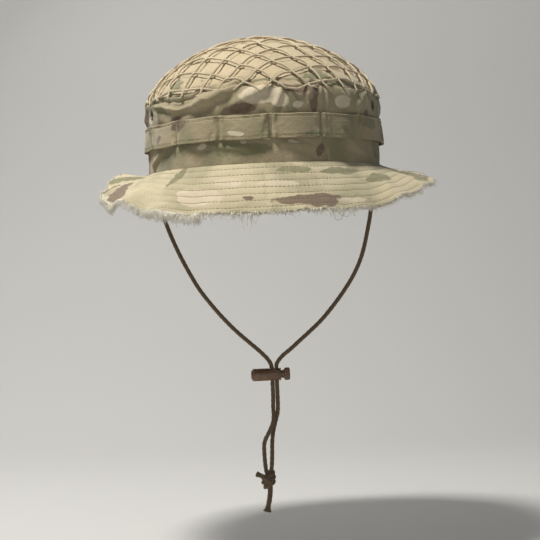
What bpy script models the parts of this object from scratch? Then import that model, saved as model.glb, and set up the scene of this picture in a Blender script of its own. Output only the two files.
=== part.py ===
"""A soft sun hat with a netted crown, a cut-down stitched brim and a chin cord, as separate sewn pieces.

Metres, +Z up. The origin is the centre of the sweatband's lower rim, where a head meets the hat, and the
front of the hat faces -Y. An angle round the hat, called the bearing, starts at the front and grows towards +X.
"""

import math

import bpy
import bmesh
from mathutils import Vector

# Driving dimensions of the crown
HALF_WIDTH = 0.090          # outside of the side wall, at its base, across the head
HALF_LENGTH = 0.107         # the same, front to back
CROWN_HEIGHT = 0.103
WALL_STRAIGHT = 0.049       # height up to which the wall stands straight
ROUNDNESS = 1.72            # exponent of the dome's outline, 2 would be an ellipse
CLOTH = 0.001               # thickness of one layer of cloth, doubled and sewn
GAP = 0.0003                # clearance left between pieces that are sewn together
WALL_FOOT = 0.0012          # lowest edge of the side wall, just over the brim
TIP_SEAM = 0.0550           # height of the seam between the side wall and the top panel
SIDE_SEAM_BEARING = 30.0    # where the wall's two panels meet, and again half a turn on

# The net that lies over the top panel
NET_CORD = 0.0013
NET_AROUND = 16
NET_ROWS = 6
NET_LIFT = 0.0011           # middle of the net's cord above the top panel
NET_HEM_TURN, NET_TOP_TURN = 12.0, 82.0     # how far up the dome its rows lie, in degrees

# The foliage band sewn round the wall
BAND_LOW = 0.018
BAND_HIGH = 0.036
BAND_LOOPS = 15
BAND_FIRST_TACK = 3.5       # bearing of the first bar tack
BAND_STAND_OFF = 0.0021     # how far a loop stands off the wall, more than it does at a tack

# The brim
BRIM_WIDTH = 0.045
BRIM_FOOT = -0.001          # height of the brim's middle layer at the crown
BRIM_LAYERS = {             # lowest and highest face of each layer, above the brim's own middle surface
    "brim_bottom": (-0.0010, -0.0003),
    "brim_interlining": (0.0000, 0.0006),
    "brim_top": (0.0009, 0.0016),
}
BRIM_SLOPES = (             # bearing, and the brim's fall below level there, in degrees
    (0, 50), (22, 50), (40, 47), (53, 34), (66, 25), (90, 19), (112, 7), (130, 1),
    (152, 11), (180, 20), (206, 12), (228, -11), (244, -9), (262, 12), (276, 24),
    (292, 37), (304, 30), (316, 42), (334, 49), (360, 50),
)

# Sweatband, tapes and tabs inside the crown
SWEATBAND_HEIGHT = 0.030
SWEATBAND_THICK = 0.0012
TAPE_THICK = 0.0006
TIP_TAPE_LOW, TIP_TAPE_HIGH = 0.0500, 0.0590
SIDE_TAPE_LOW, SIDE_TAPE_HIGH = 0.0310, 0.0490
SIDE_TAPE_WIDTH = 0.012
LABEL_BEARING = 180.0
LABEL_WIDTH, LABEL_HEIGHT = 0.030, 0.020

# Vent eyelets
EYELET_BEARINGS = {"right_front": 68, "right_rear": 112, "left_front": -68, "left_rear": -112}
EYELET_HEIGHT = 0.0445
EYELET_BORE = 0.0050
EYELET_TUBE = 0.0058
EYELET_HOLE = 0.0064        # hole in the cloth
EYELET_FLANGE = 0.0084
EYELET_PLATE = 0.0005       # thickness of the flange and of the washer

# Chin cord and its fittings
CORD = 0.0032               # diameter
EAR = Vector((0.0839, 0.0, -0.0070))   # the cord's end by the wearer's left ear, mirrored for the other
TAB_WIDTH = 0.012
TAB_LOW, TAB_HIGH = -0.0100, 0.0140
LEFT_ROUTE = (              # x, z and any y of the cord from its end at -X to the knot, in millimetres
    (-83.8, -9.6), (-83.2, -17.0), (-81.9, -28.3), (-76.8, -45.0), (-70.0, -61.8), (-63.1, -76.2),
    (-55.5, -90.0), (-46.5, -102.6), (-36.9, -114.4), (-27.4, -124.6), (-18.0, -133.4), (-10.2, -140.6),
    (-4.6, -146.6), (-1.9, -151.5), (-1.35, -157.0), (-1.35, -166.0), (-1.35, -176.0), (-1.7, -185.0),
    (-1.6, -190.0, -1.2), (-2.4, -197.0, -1.8), (-5.6, -204.0, -1.8), (-9.6, -212.0, -1.0), (-10.2, -221.0),
    (-9.6, -232.2),
)
RIGHT_ROUTE = (             # the same from its end at +X
    (83.9, -9.6), (83.6, -17.5), (82.6, -28.0), (80.4, -40.4), (77.6, -52.6), (74.8, -63.2), (71.1, -73.5),
    (65.4, -84.6), (58.4, -95.0), (49.2, -106.8), (39.3, -117.8), (30.2, -126.0), (21.3, -133.5),
    (14.3, -139.4), (7.6, -144.6), (3.2, -149.6), (2.15, -154.0), (2.15, -165.0), (2.15, -176.0),
    (2.0, -185.0), (1.4, -190.0, 1.2), (-0.6, -197.0, 1.8), (-2.4, -204.0, 1.6), (-3.6, -212.0, 0.8),
    (-4.1, -222.0), (-4.9, -232.2),
)
TAIL_ROUTE = (              # the cord below the knot, down to its melted end
    (-6.8, -249.6), (-7.1, -253.0), (-7.7, -257.0), (-8.8, -262.0), (-9.9, -266.6),
)
STUB_ROUTE = ((-13.6, -238.2), (-15.0, -237.6), (-16.8, -236.8))
KNOT_CENTRE = Vector((-0.0078, 0.0, -0.2412))
KNOT_SIZE = Vector((0.0106, 0.0088, 0.0158))

# Cord lock: a barrel lying along X, with a sprung plunger that comes out of its +X end
LOCK_Z = -0.1590
BARREL_DIAMETER = 0.0098
BARREL_FROM, BARREL_TO = -0.0179, 0.0056
BARREL_BORE = 0.0074
BARREL_BORE_END = -0.0159   # the blind end of the bore
BARREL_SLOT = (-0.0033, 0.0041)
SLOT_HALF = 0.00195         # half the width of both cord slots, front to back
STEM_DIAMETER = 0.0068
STEM_FROM = -0.0060
STEM_SLOT = (-0.0033, 0.0069)
KNOB_FROM, KNOB_TO = 0.0084, 0.0127
KNOB_DIAMETER = 0.0098
KNOB_RIBS = 14
SPRING_DIAMETER = 0.0052
SPRING_WIRE = 0.0006
SPRING_COILS = 5

AROUND = 72                 # steps round the head for every sewn ring


def material(name, colour, roughness, metallic=0.0):
    """A plain finish for one piece."""
    finish = bpy.data.materials.new(name)
    finish.use_nodes = True
    shader = finish.node_tree.nodes["Principled BSDF"]
    shader.inputs["Base Color"].default_value = (*colour, 1.0)
    shader.inputs["Roughness"].default_value = roughness
    shader.inputs["Metallic"].default_value = metallic
    return finish


CAMO = (0.23, 0.20, 0.13)
CREAM = (0.52, 0.46, 0.33)
TAPE = (0.20, 0.17, 0.11)
NET = (0.36, 0.27, 0.15)
CORD_BROWN = (0.09, 0.06, 0.035)
PLASTIC = (0.12, 0.055, 0.03)
PAINTED = (0.10, 0.09, 0.055)
STEEL = (0.56, 0.56, 0.55)


def add_mesh(name, shape, colour, roughness=0.9, metallic=0.0, origin=None):
    """A bmesh becomes a named object with its own material. The origin, if given, is its joint's place."""
    bmesh.ops.recalc_face_normals(shape, faces=shape.faces)
    if origin is not None:
        bmesh.ops.translate(shape, verts=shape.verts, vec=-origin)
    mesh = bpy.data.meshes.new(name)
    shape.to_mesh(mesh)
    shape.free()
    mesh.shade_smooth()
    mesh.set_sharp_from_angle(angle=math.radians(35))
    piece = bpy.data.objects.new(name, mesh)
    bpy.context.scene.collection.objects.link(piece)
    piece.data.materials.append(material(name, colour, roughness, metallic))
    if origin is not None:
        piece.location = origin
    return piece


def outward(bearing, half_width=HALF_WIDTH, half_length=HALF_LENGTH):
    """Unit vector, level, square to the oval at a bearing in degrees."""
    a = math.radians(bearing)
    return Vector((math.sin(a) / half_width, -math.cos(a) / half_length, 0.0)).normalized()


def oval(bearing, share=1.0):
    """Point of the wall's base oval, scaled by share, at z = 0."""
    a = math.radians(bearing)
    return Vector((HALF_WIDTH * share * math.sin(a), -HALF_LENGTH * share * math.cos(a), 0.0))


def crown_share(z):
    """How wide the crown still is at a height, as a share of its base."""
    t = max(0.0, (z - WALL_STRAIGHT) / (CROWN_HEIGHT - WALL_STRAIGHT))
    return (1.0 - min(1.0, t) ** ROUNDNESS) ** (1.0 / ROUNDNESS)


def crown_point(bearing, z, lift):
    """A point at a lift square to the crown's outer surface, level with or above z."""
    step = 0.0002
    z_low, z_high = z - step, min(z + step, CROWN_HEIGHT - 1e-7)
    low = oval(bearing, crown_share(z_low)) + Vector((0, 0, z_low))
    high = oval(bearing, crown_share(z_high)) + Vector((0, 0, z_high))
    up = (high - low).normalized()
    along = oval(bearing + 0.5) - oval(bearing - 0.5)
    side = along.cross(up).normalized()
    if side.dot(outward(bearing)) < 0:
        side.negate()
    return oval(bearing, crown_share(z)) + Vector((0, 0, z)) + side * lift


def dome_height(turn):
    """Height on the dome for a turn from 0 degrees, where the wall ends, to 90 at the top."""
    rise = math.sin(math.radians(turn)) ** (2.0 / ROUNDNESS)
    return WALL_STRAIGHT + (CROWN_HEIGHT - WALL_STRAIGHT) * rise


def sewn_ring(name, outline, colour, start=0.0, sweep=360.0, steps=AROUND, roughness=0.9):
    """Carries a closed outline, given as a function of the bearing, round the hat. A part turn gets ends.

    Each side is split from its corner nearer the head, so that layers of the brim nest where it twists.
    """
    shape = bmesh.new()
    whole = sweep >= 360.0
    count = steps if whole else steps + 1
    rows = []
    for i in range(count):
        rows.append([shape.verts.new(p) for p in outline(start + sweep * i / steps)])
    sides = len(rows[0])
    for i in range(steps):
        here, there = rows[i], rows[(i + 1) % count]
        for k in range(sides):
            m = (k + 1) % sides
            if here[k].co.xy.length <= here[m].co.xy.length:
                shape.faces.new((here[k], here[m], there[m]))
                shape.faces.new((here[k], there[m], there[k]))
            else:
                shape.faces.new((here[k], here[m], there[k]))
                shape.faces.new((here[m], there[m], there[k]))
    if not whole:
        shape.faces.new(rows[0])
        shape.faces.new(rows[-1])
    return add_mesh(name, shape, colour, roughness)


def wall_strip(heights, outer, inner):
    """Outline function of a strip that follows the crown between two lifts from its outer surface."""
    def outline(bearing):
        up = [crown_point(bearing, z, outer) for z in heights]
        down = [crown_point(bearing, z, inner) for z in reversed(heights)]
        return up + down
    return outline


def top_panel():
    """The domed top: two skins a cloth's thickness apart, joined round the seam."""
    shape = bmesh.new()
    first = math.degrees(math.asin(((TIP_SEAM + GAP - WALL_STRAIGHT)
                                    / (CROWN_HEIGHT - WALL_STRAIGHT)) ** (ROUNDNESS / 2.0)))
    turns = [first + (86.0 - first) * (i / 8) ** 1.2 for i in range(9)]
    rings = {}
    for skin, lift in (("outer", 0.0), ("inner", -CLOTH)):
        rows = []
        for turn in turns:
            z = dome_height(turn)
            rows.append([shape.verts.new(crown_point(360.0 * i / AROUND, z, lift)) for i in range(AROUND)])
        pole = shape.verts.new((0, 0, CROWN_HEIGHT + lift))
        for lower, upper in zip(rows, rows[1:]):
            for i in range(AROUND):
                j = (i + 1) % AROUND
                shape.faces.new((lower[i], lower[j], upper[j], upper[i]))
        for i in range(AROUND):
            shape.faces.new((rows[-1][i], rows[-1][(i + 1) % AROUND], pole))
        rings[skin] = rows[0]
    for i in range(AROUND):
        j = (i + 1) % AROUND
        shape.faces.new((rings["outer"][i], rings["outer"][j], rings["inner"][j], rings["inner"][i]))
    return add_mesh("crown_top_panel", shape, CREAM)


def net_cover():
    """A lattice of diamonds over the top panel, its lowest row tied into the seam, made of one cord."""
    shape = bmesh.new()
    half = 180.0 / NET_AROUND
    knots = {}
    lines = {}

    def tie(row, i):
        """The knot of a row, as its bearing and its turn up the dome."""
        turn = NET_HEM_TURN + (NET_TOP_TURN - NET_HEM_TURN) * (row / NET_ROWS) ** 0.9
        return row, i % NET_AROUND, 2 * half * i + (half if row % 2 else 0.0), turn

    def place(bearing, turn):
        return shape.verts.new(crown_point(bearing, dome_height(turn), NET_LIFT))

    def run(a, b, pieces):
        """Vertices from one knot towards the next, without the last, the same ones from either side."""
        for row, i, bearing, turn in (a, b):
            if (row, i) not in knots:
                knots[row, i] = place(bearing, turn)
        if (b[:2], a[:2]) in lines:
            middle = list(reversed(lines[b[:2], a[:2]]))
        else:
            shares = [k / pieces for k in range(1, pieces)]
            middle = [place(a[2] + (b[2] - a[2]) * t, a[3] + (b[3] - a[3]) * t) for t in shares]
            lines[a[:2], b[:2]] = middle
        return [knots[a[:2]]] + middle

    def diamond(*corners):
        face = []
        for a, b in zip(corners, corners[1:] + corners[:1]):
            face.extend(run(a, b, 4 if a[0] == b[0] == 0 else 2))
        shape.faces.new(face)

    for i in range(NET_AROUND):
        diamond(tie(0, i), tie(0, i + 1), tie(1, i))
    for row in range(NET_ROWS - 1):
        for i in range(NET_AROUND):
            right, left = (i + 1, i) if row % 2 else (i, i - 1)
            diamond(tie(row, i), tie(row + 1, right), tie(row + 2, i), tie(row + 1, left))
    crest = []
    for i in range(NET_AROUND):
        crest.append(tie(NET_ROWS, i))
        crest.append(tie(NET_ROWS - 1, i + NET_ROWS % 2))
    diamond(*crest)
    net = add_mesh("net_cover", shape, NET)
    wires = net.modifiers.new("Cords", "WIREFRAME")
    wires.thickness = NET_CORD
    wires.offset = 0.0
    wires.use_even_offset = False
    wires.use_boundary = True
    wires.use_replace = True
    return net


def tack_share(bearing):
    """0 at a bar tack of the foliage band, 1 half way along a loop."""
    turn = (bearing - BAND_FIRST_TACK) * BAND_LOOPS / 360.0
    return math.sin(math.pi * (turn % 1.0)) ** 0.7


def band_outline(bearing):
    """The foliage band's section at a bearing, standing off the wall between its tacks."""
    lift = GAP + BAND_STAND_OFF * tack_share(bearing)
    low, high = BAND_LOW, BAND_HIGH
    return [crown_point(bearing, low, lift + CLOTH), crown_point(bearing, high, lift + CLOTH),
            crown_point(bearing, high, lift), crown_point(bearing, low, lift)]


def brim_slope(bearing):
    """The brim's fall below level, in radians, eased between the listed bearings."""
    b = bearing % 360.0
    for (b0, s0), (b1, s1) in zip(BRIM_SLOPES, BRIM_SLOPES[1:]):
        if b0 <= b <= b1:
            t = (b - b0) / (b1 - b0)
            return math.radians(s0 + (s1 - s0) * t * t * (3 - 2 * t))
    raise ValueError(bearing)


def brim_outline(low, high):
    """Outline function of one layer of the brim, between two lifts above its middle surface."""
    def outline(bearing):
        slope = brim_slope(bearing)
        level = outward(bearing)
        down = level * math.cos(slope) - Vector((0, 0, math.sin(slope)))
        above = level * math.sin(slope) + Vector((0, 0, math.cos(slope)))
        foot = oval(bearing) + Vector((0, 0, BRIM_FOOT))
        widths = [BRIM_WIDTH * i / 3 for i in range(4)]
        upper = [foot + down * w + above * high for w in widths]
        under = [foot + down * w + above * low for w in reversed(widths)]
        return upper + under
    return outline


def block(name, centre, size, colour, turn=0.0, bevel=0.0002, roughness=0.9):
    """A small flat piece, turned about Z by an angle in degrees."""
    shape = bmesh.new()
    bmesh.ops.create_cube(shape, size=1.0)
    bmesh.ops.scale(shape, verts=shape.verts, vec=size)
    bmesh.ops.bevel(shape, geom=shape.edges[:], offset=bevel, segments=1, affect="EDGES")
    piece = add_mesh(name, shape, colour, roughness)
    piece.location = centre
    piece.rotation_euler = (0, 0, math.radians(turn))
    return piece


def turned(name, profile, colour, steps, roughness=0.5, metallic=0.0):
    """Turns a closed outline of (distance along the axis, radius) points about X."""
    shape = bmesh.new()
    rows = []
    for i in range(steps):
        a = 2 * math.pi * i / steps
        rows.append([shape.verts.new((x, r * math.cos(a), r * math.sin(a))) if r > 0 else None
                     for x, r in profile])
    ends = {k: shape.verts.new((x, 0, 0)) for k, (x, r) in enumerate(profile) if r <= 0}
    sides = len(profile)
    for i in range(steps):
        here, there = rows[i], rows[(i + 1) % steps]
        for k in range(sides):
            m = (k + 1) % sides
            corners = (ends.get(k, here[k]), ends.get(m, here[m]), ends.get(m, there[m]), ends.get(k, there[k]))
            face = list(dict.fromkeys(corners))
            if len(face) > 2:
                shape.faces.new(face)
    return add_mesh(name, shape, colour, roughness, metallic)


def cut(piece, cutter):
    """Takes the cutter's shape out of a piece, and keeps the cutter as a hidden guide."""
    cutter.hide_render = True
    cutter.display_type = "WIRE"
    hole = piece.modifiers.new(cutter.name, "BOOLEAN")
    hole.operation = "DIFFERENCE"
    hole.solver = "EXACT"
    hole.object = cutter


def face_out(piece, bearing, z, lift):
    """Stands a piece that was turned about X on the crown's wall, its axis pointing straight out."""
    level = outward(bearing)
    piece.location = crown_point(bearing, z, lift)
    piece.rotation_euler = level.to_track_quat("X", "Z").to_euler()


def vent_eyelet(place, bearing, panels):
    """An eyelet outside the wall, the washer it is pressed over inside, and their hole in the cloth."""
    bore, tube, flange = EYELET_BORE / 2, EYELET_TUBE / 2, EYELET_FLANGE / 2
    inner = -(CLOTH + 2 * GAP + EYELET_PLATE)
    eyelet = turned("vent_eyelet_" + place, [
        (inner, bore), (inner, tube), (GAP, tube), (GAP, flange),
        (GAP + EYELET_PLATE, flange - 0.0002), (GAP + EYELET_PLATE, bore + 0.0003), (GAP, bore)],
        PAINTED, 16, 0.45, 0.6)
    washer = turned("vent_washer_" + place, [
        (-CLOTH - GAP, tube + GAP), (-CLOTH - GAP, flange), (inner, flange), (inner, tube + GAP)],
        PAINTED, 16, 0.45, 0.6)
    punch = turned("punch_" + place, [(-0.003, 0), (-0.003, EYELET_HOLE / 2), (0.003, EYELET_HOLE / 2),
                                      (0.003, 0)], PAINTED, 20)
    for piece in (eyelet, washer, punch):
        face_out(piece, bearing, EYELET_HEIGHT, 0.0)
    for panel in panels:
        cut(panel, punch)


def smooth_route(points, per_span=2):
    """A smooth line through the route's points: x and z in millimetres, and y where it leaves the plane y = 0."""
    line = [Vector((x, sum(y), z)) / 1000 for x, z, *y in points]
    line = [2 * line[0] - line[1]] + line + [2 * line[-1] - line[-2]]
    out = []
    for a, b, c, d in zip(line, line[1:], line[2:], line[3:]):
        for k in range(per_span):
            t = k / per_span
            out.append(0.5 * ((2 * b) + (c - a) * t + (2 * a - 5 * b + 4 * c - d) * t * t
                              + (3 * b - a - 3 * c + d) * t ** 3))
    out.append(line[-2])
    return out


def cord_run(name, route, pivot, radii=None, per_span=1):
    """A round cord along a route, its origin on the line through the cord's two ends by the ears."""
    points = smooth_route(route, per_span)
    curve = bpy.data.curves.new(name, "CURVE")
    curve.dimensions = "3D"
    curve.bevel_depth = CORD / 2
    curve.bevel_resolution = 2
    curve.use_fill_caps = True
    spline = curve.splines.new("POLY")
    spline.points.add(len(points) - 1)
    for i, p in enumerate(points):
        spline.points[i].co = (*(p - pivot), 1.0)
        if radii:
            spline.points[i].radius = radii[i]
    piece = bpy.data.objects.new(name, curve)
    piece.location = pivot
    piece.data.materials.append(material(name, CORD_BROWN, 0.85))
    bpy.context.scene.collection.objects.link(piece)
    return piece


def knot(pivot):
    """The overhand knot both ends share: a lumpy round body, three wraps high."""
    shape = bmesh.new()
    bmesh.ops.create_uvsphere(shape, u_segments=16, v_segments=12, radius=0.5)
    for v in shape.verts:
        wraps = 1.0 + 0.07 * math.cos(6 * math.pi * v.co.z + 2.0 * v.co.x)
        v.co = Vector((v.co.x * KNOT_SIZE.x * wraps, v.co.y * KNOT_SIZE.y * wraps, v.co.z * KNOT_SIZE.z))
        v.co += KNOT_CENTRE
    return add_mesh("cord_knot", shape, CORD_BROWN, 0.85, origin=pivot)


def slot_cutter(name, x_from, x_to, centre):
    """A block that cuts the cord's slot through the cord lock from top to bottom."""
    size = Vector((x_to - x_from, 2 * SLOT_HALF, 2 * BARREL_DIAMETER))
    return block(name, centre + Vector(((x_from + x_to) / 2, 0, 0)), size, PLASTIC)


def cord_lock(parent):
    """Barrel, plunger and spring of the cord lock, all on the empty that slides along the cord."""
    centre = Vector((0, 0, LOCK_Z))
    outer, bore = BARREL_DIAMETER / 2, BARREL_BORE / 2
    round_end = 0.0028
    nose = [(BARREL_FROM + round_end * (1 - math.sin(a)), outer - round_end * (1 - math.cos(a)))
            for a in (math.radians(d) for d in (90, 67, 45, 22, 0))]
    barrel = turned("cord_lock_barrel", [(BARREL_FROM, 0)] + nose + [
        (BARREL_TO - 0.0004, outer), (BARREL_TO, outer - 0.0004), (BARREL_TO, bore), (BARREL_BORE_END, bore),
        (BARREL_BORE_END, 0)], PLASTIC, 32, 0.4)
    cut(barrel, slot_cutter("barrel_slot", *BARREL_SLOT, centre))

    stem, knob = STEM_DIAMETER / 2, KNOB_DIAMETER / 2
    plunger = turned("cord_lock_plunger", [
        (STEM_FROM, 0), (STEM_FROM, stem - 0.0003), (STEM_FROM + 0.0003, stem), (KNOB_FROM, stem),
        (KNOB_FROM, knob - 0.0003), (KNOB_FROM + 0.0003, knob), (KNOB_TO - 0.0008, knob),
        (KNOB_TO, knob - 0.0009), (KNOB_TO, 0)], PLASTIC, 2 * KNOB_RIBS, 0.4)
    for v in plunger.data.vertices:
        rib = round(math.atan2(v.co.z, v.co.y) / (math.pi / KNOB_RIBS)) % 2
        if v.co.x > KNOB_FROM - 0.0001 and v.co.yz.length > stem + 0.0001 and rib:
            v.co.y *= 0.93
            v.co.z *= 0.93
    cut(plunger, slot_cutter("stem_slot", *STEM_SLOT, centre))

    turns = SPRING_COILS * 12
    length = STEM_FROM - BARREL_BORE_END - 2 * GAP - SPRING_WIRE
    reach = (SPRING_DIAMETER - SPRING_WIRE) / 2
    coil = bpy.data.curves.new("cord_lock_spring", "CURVE")
    coil.dimensions = "3D"
    coil.bevel_depth = SPRING_WIRE / 2
    coil.bevel_resolution = 1
    coil.use_fill_caps = True
    wire = coil.splines.new("POLY")
    wire.points.add(turns)
    for i in range(turns + 1):
        a = 2 * math.pi * SPRING_COILS * i / turns
        x = BARREL_BORE_END + GAP + SPRING_WIRE / 2 + length * i / turns
        wire.points[i].co = (x, reach * math.cos(a), reach * math.sin(a), 1.0)
    spring = bpy.data.objects.new("cord_lock_spring", coil)
    spring.data.materials.append(material("cord_lock_spring", STEEL, 0.3, 1.0))
    bpy.context.scene.collection.objects.link(spring)

    for piece in (barrel, plunger, spring):
        piece.parent = parent


for old in list(bpy.data.objects):
    bpy.data.objects.remove(old)

# Crown: a wall in two halves, the domed top and the net over it
wall_heights = [WALL_FOOT, BAND_LOW, BAND_HIGH, WALL_STRAIGHT, TIP_SEAM - GAP / 2]
wall_outline = wall_strip(wall_heights, 0.0, -CLOTH)
seam_gap = 0.2
front_wall = sewn_ring("crown_side_front", wall_outline, CAMO,
                       SIDE_SEAM_BEARING - 180 + seam_gap, 180 - 2 * seam_gap, AROUND // 2)
rear_wall = sewn_ring("crown_side_rear", wall_outline, CAMO,
                      SIDE_SEAM_BEARING + seam_gap, 180 - 2 * seam_gap, AROUND // 2)
top_panel()
net_cover()
for place, bearing in EYELET_BEARINGS.items():
    in_front = SIDE_SEAM_BEARING - 180 < bearing < SIDE_SEAM_BEARING
    vent_eyelet(place, bearing, [front_wall if in_front else rear_wall])

# Foliage band and the brim's three layers
sewn_ring("foliage_band", band_outline, CAMO, BAND_FIRST_TACK, 360.0, BAND_LOOPS * 8)
for layer, (low, high) in BRIM_LAYERS.items():
    sewn_ring(layer, brim_outline(low, high), CAMO if layer != "brim_interlining" else CREAM)

# Inside the crown: sweatband, seam tapes, a blank label and the tabs that hold the cord's ends
inside = -CLOTH - GAP
sewn_ring("sweatband", wall_strip([0.0, SWEATBAND_HEIGHT], inside, inside - SWEATBAND_THICK), TAPE)
tape_heights = [TIP_TAPE_LOW, (TIP_TAPE_LOW + TIP_TAPE_HIGH) / 2, TIP_TAPE_HIGH]
tape_lift = inside - GAP
sewn_ring("tip_seam_tape", wall_strip(tape_heights, tape_lift, tape_lift - TAPE_THICK), TAPE)
for place, bearing in (("right", SIDE_SEAM_BEARING), ("left", SIDE_SEAM_BEARING + 180)):
    half = math.degrees(SIDE_TAPE_WIDTH / 2 / HALF_LENGTH)
    outline = wall_strip([SIDE_TAPE_LOW, SIDE_TAPE_HIGH], inside, inside - TAPE_THICK)
    sewn_ring("side_seam_tape_" + place, outline, TAPE, bearing - half, 2 * half, 4)
label_lift = inside - SWEATBAND_THICK - GAP
label_half = math.degrees(LABEL_WIDTH / 2 / HALF_WIDTH)
sewn_ring("care_label", wall_strip([0.006, 0.006 + LABEL_HEIGHT], label_lift, label_lift - TAPE_THICK), CREAM,
          LABEL_BEARING - label_half, 2 * label_half, 6)
for place, side in (("right", 1), ("left", -1)):
    tab_out = crown_point(90, 0.0, label_lift - GAP).x
    centre = Vector((side * (tab_out - CLOTH / 2), 0, (TAB_LOW + TAB_HIGH) / 2))
    block("cord_tab_" + place, centre, Vector((CLOTH, TAB_WIDTH, TAB_HIGH - TAB_LOW)), TAPE)

# Chin cord: it swings about the line through its two ends, and the cord lock slides on it
swing = bpy.data.objects.new("chin_cord_swing", None)
swing.location = (0, 0, EAR.z)
bpy.context.scene.collection.objects.link(swing)
ear_line = swing.location.copy()
strands = [
    cord_run("chin_cord_left", ((-EAR.x * 1000, EAR.z * 1000),) + LEFT_ROUTE, ear_line),
    cord_run("chin_cord_right", ((EAR.x * 1000, EAR.z * 1000),) + RIGHT_ROUTE, ear_line),
    knot(ear_line),
    cord_run("cord_tail", TAIL_ROUTE, ear_line, radii=[1.2, 1.2, 1.22, 1.35, 2.0]),
    cord_run("cord_stub", STUB_ROUTE, ear_line, radii=[1, 1.05, 1.2]),
]
for piece in strands:
    piece.location -= ear_line
    piece.parent = swing
lock = bpy.data.objects.new("cord_lock_slide", None)
bpy.context.scene.collection.objects.link(lock)
lock.parent = swing
lock.location = Vector((0, 0, LOCK_Z)) - ear_line
cord_lock(lock)
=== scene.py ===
"""Looks of the soft sun hat: printed cloth, top net, stitched frayed brim, chin cord and cord lock."""

import math

import bmesh
import bpy
import numpy as np
from mathutils import Matrix, Vector


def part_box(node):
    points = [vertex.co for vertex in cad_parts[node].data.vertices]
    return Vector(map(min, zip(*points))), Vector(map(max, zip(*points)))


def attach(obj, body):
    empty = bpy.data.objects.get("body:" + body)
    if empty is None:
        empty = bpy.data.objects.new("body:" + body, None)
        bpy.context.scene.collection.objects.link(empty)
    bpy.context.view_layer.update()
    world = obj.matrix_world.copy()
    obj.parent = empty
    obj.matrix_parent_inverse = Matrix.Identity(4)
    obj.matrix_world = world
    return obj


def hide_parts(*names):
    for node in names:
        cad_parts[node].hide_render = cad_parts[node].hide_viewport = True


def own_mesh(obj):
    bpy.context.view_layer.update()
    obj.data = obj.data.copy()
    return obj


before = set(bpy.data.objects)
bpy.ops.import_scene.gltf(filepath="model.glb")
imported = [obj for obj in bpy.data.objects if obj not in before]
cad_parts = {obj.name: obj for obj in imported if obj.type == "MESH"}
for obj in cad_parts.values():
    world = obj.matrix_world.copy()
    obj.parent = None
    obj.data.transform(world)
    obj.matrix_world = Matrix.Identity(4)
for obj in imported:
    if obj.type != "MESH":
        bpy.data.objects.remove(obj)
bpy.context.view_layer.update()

# ---------------------------------------------------------------------------------------------------
# Camera, studio light and sweep.
# A long lens looks level at the chin cord from straight ahead, turned by a few degrees because the hat
# is seen a little askew. The main light is above and to the left, with a weak wide one in front and one
# behind that catches the edges.
LENS_MM = 106.0
LENS_FROM = Vector((0.0005, -1.25, -0.077))
TILT = -2.5
FLOOR_Z = -0.300
SWEEP_NEAR, SWEEP_FAR, SWEEP_HALF, SWEEP_TOP = -1.6, 0.7, 2.2, 2.2
SWEEP_BEND = 0.5



def into_scene(name, data):
    """A new object in the scene, for a mesh, a light or a camera."""
    made = bpy.data.objects.new(name, data)
    bpy.context.scene.collection.objects.link(made)
    return made


camera = into_scene("camera", bpy.data.cameras.new("camera"))
camera.data.lens = LENS_MM
camera.data.sensor_width = 36.0
camera.matrix_world = (Matrix.Translation(LENS_FROM) @ Matrix.Rotation(math.radians(90), 4, "X")
                       @ Matrix.Rotation(math.radians(TILT), 4, "Z"))
bpy.context.scene.camera = camera
bpy.context.scene.view_settings.view_transform = "Standard"
bpy.context.scene.view_settings.look = "None"

world = bpy.data.worlds.new("studio")
world.use_nodes = True
world.node_tree.nodes["Background"].inputs["Color"].default_value = (0.80, 0.84, 0.90, 1)
world.node_tree.nodes["Background"].inputs["Strength"].default_value = 0.13
bpy.context.scene.world = world


def soft_light(name, place, aim, size, watts, colour):
    """A square soft box that faces the point it is aimed at."""
    lamp = into_scene(name, bpy.data.lights.new(name, "AREA"))
    lamp.data.size = size
    lamp.data.energy = watts
    lamp.data.color = colour
    lamp.location = place
    lamp.rotation_euler = (Vector(aim) - Vector(place)).to_track_quat("-Z", "Y").to_euler()


soft_light("key", (-0.38, -0.44, 1.24), (0, 0, 0.0), 0.26, 24.0, (1.0, 0.975, 0.93))
soft_light("fill", (0.30, -1.60, 0.00), (0, 0, -0.08), 0.9, 2.6, (0.97, 0.98, 1.0))
soft_light("rim", (-0.55, 0.75, 0.70), (0, 0, 0.03), 0.5, 5.0, (1.0, 0.98, 0.95))

sweep = bpy.data.meshes.new("sweep")
outline = [(SWEEP_NEAR, FLOOR_Z), (SWEEP_FAR, FLOOR_Z)]
outline += [(SWEEP_FAR + SWEEP_BEND * math.sin(math.radians(a)),
             FLOOR_Z + SWEEP_BEND - SWEEP_BEND * math.cos(math.radians(a))) for a in range(10, 91, 10)]
outline += [(SWEEP_FAR + SWEEP_BEND, SWEEP_TOP)]
sweep.from_pydata([(x, y, z) for y, z in outline for x in (-SWEEP_HALF, SWEEP_HALF)], [],
                  [(2 * i, 2 * i + 1, 2 * i + 3, 2 * i + 2) for i in range(len(outline) - 1)])
sweep.shade_smooth()
floor = into_scene("sweep", sweep)


def new_finish(name):
    """A new material, with its node tree and its shader."""
    finish = bpy.data.materials.new(name)
    finish.use_nodes = True
    return finish, finish.node_tree, finish.node_tree.nodes["Principled BSDF"]


paper, _, shader = new_finish("sweep_paper")
shader.inputs["Base Color"].default_value = (0.60, 0.595, 0.58, 1)
shader.inputs["Roughness"].default_value = 0.9
sweep.materials.append(paper)

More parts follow.
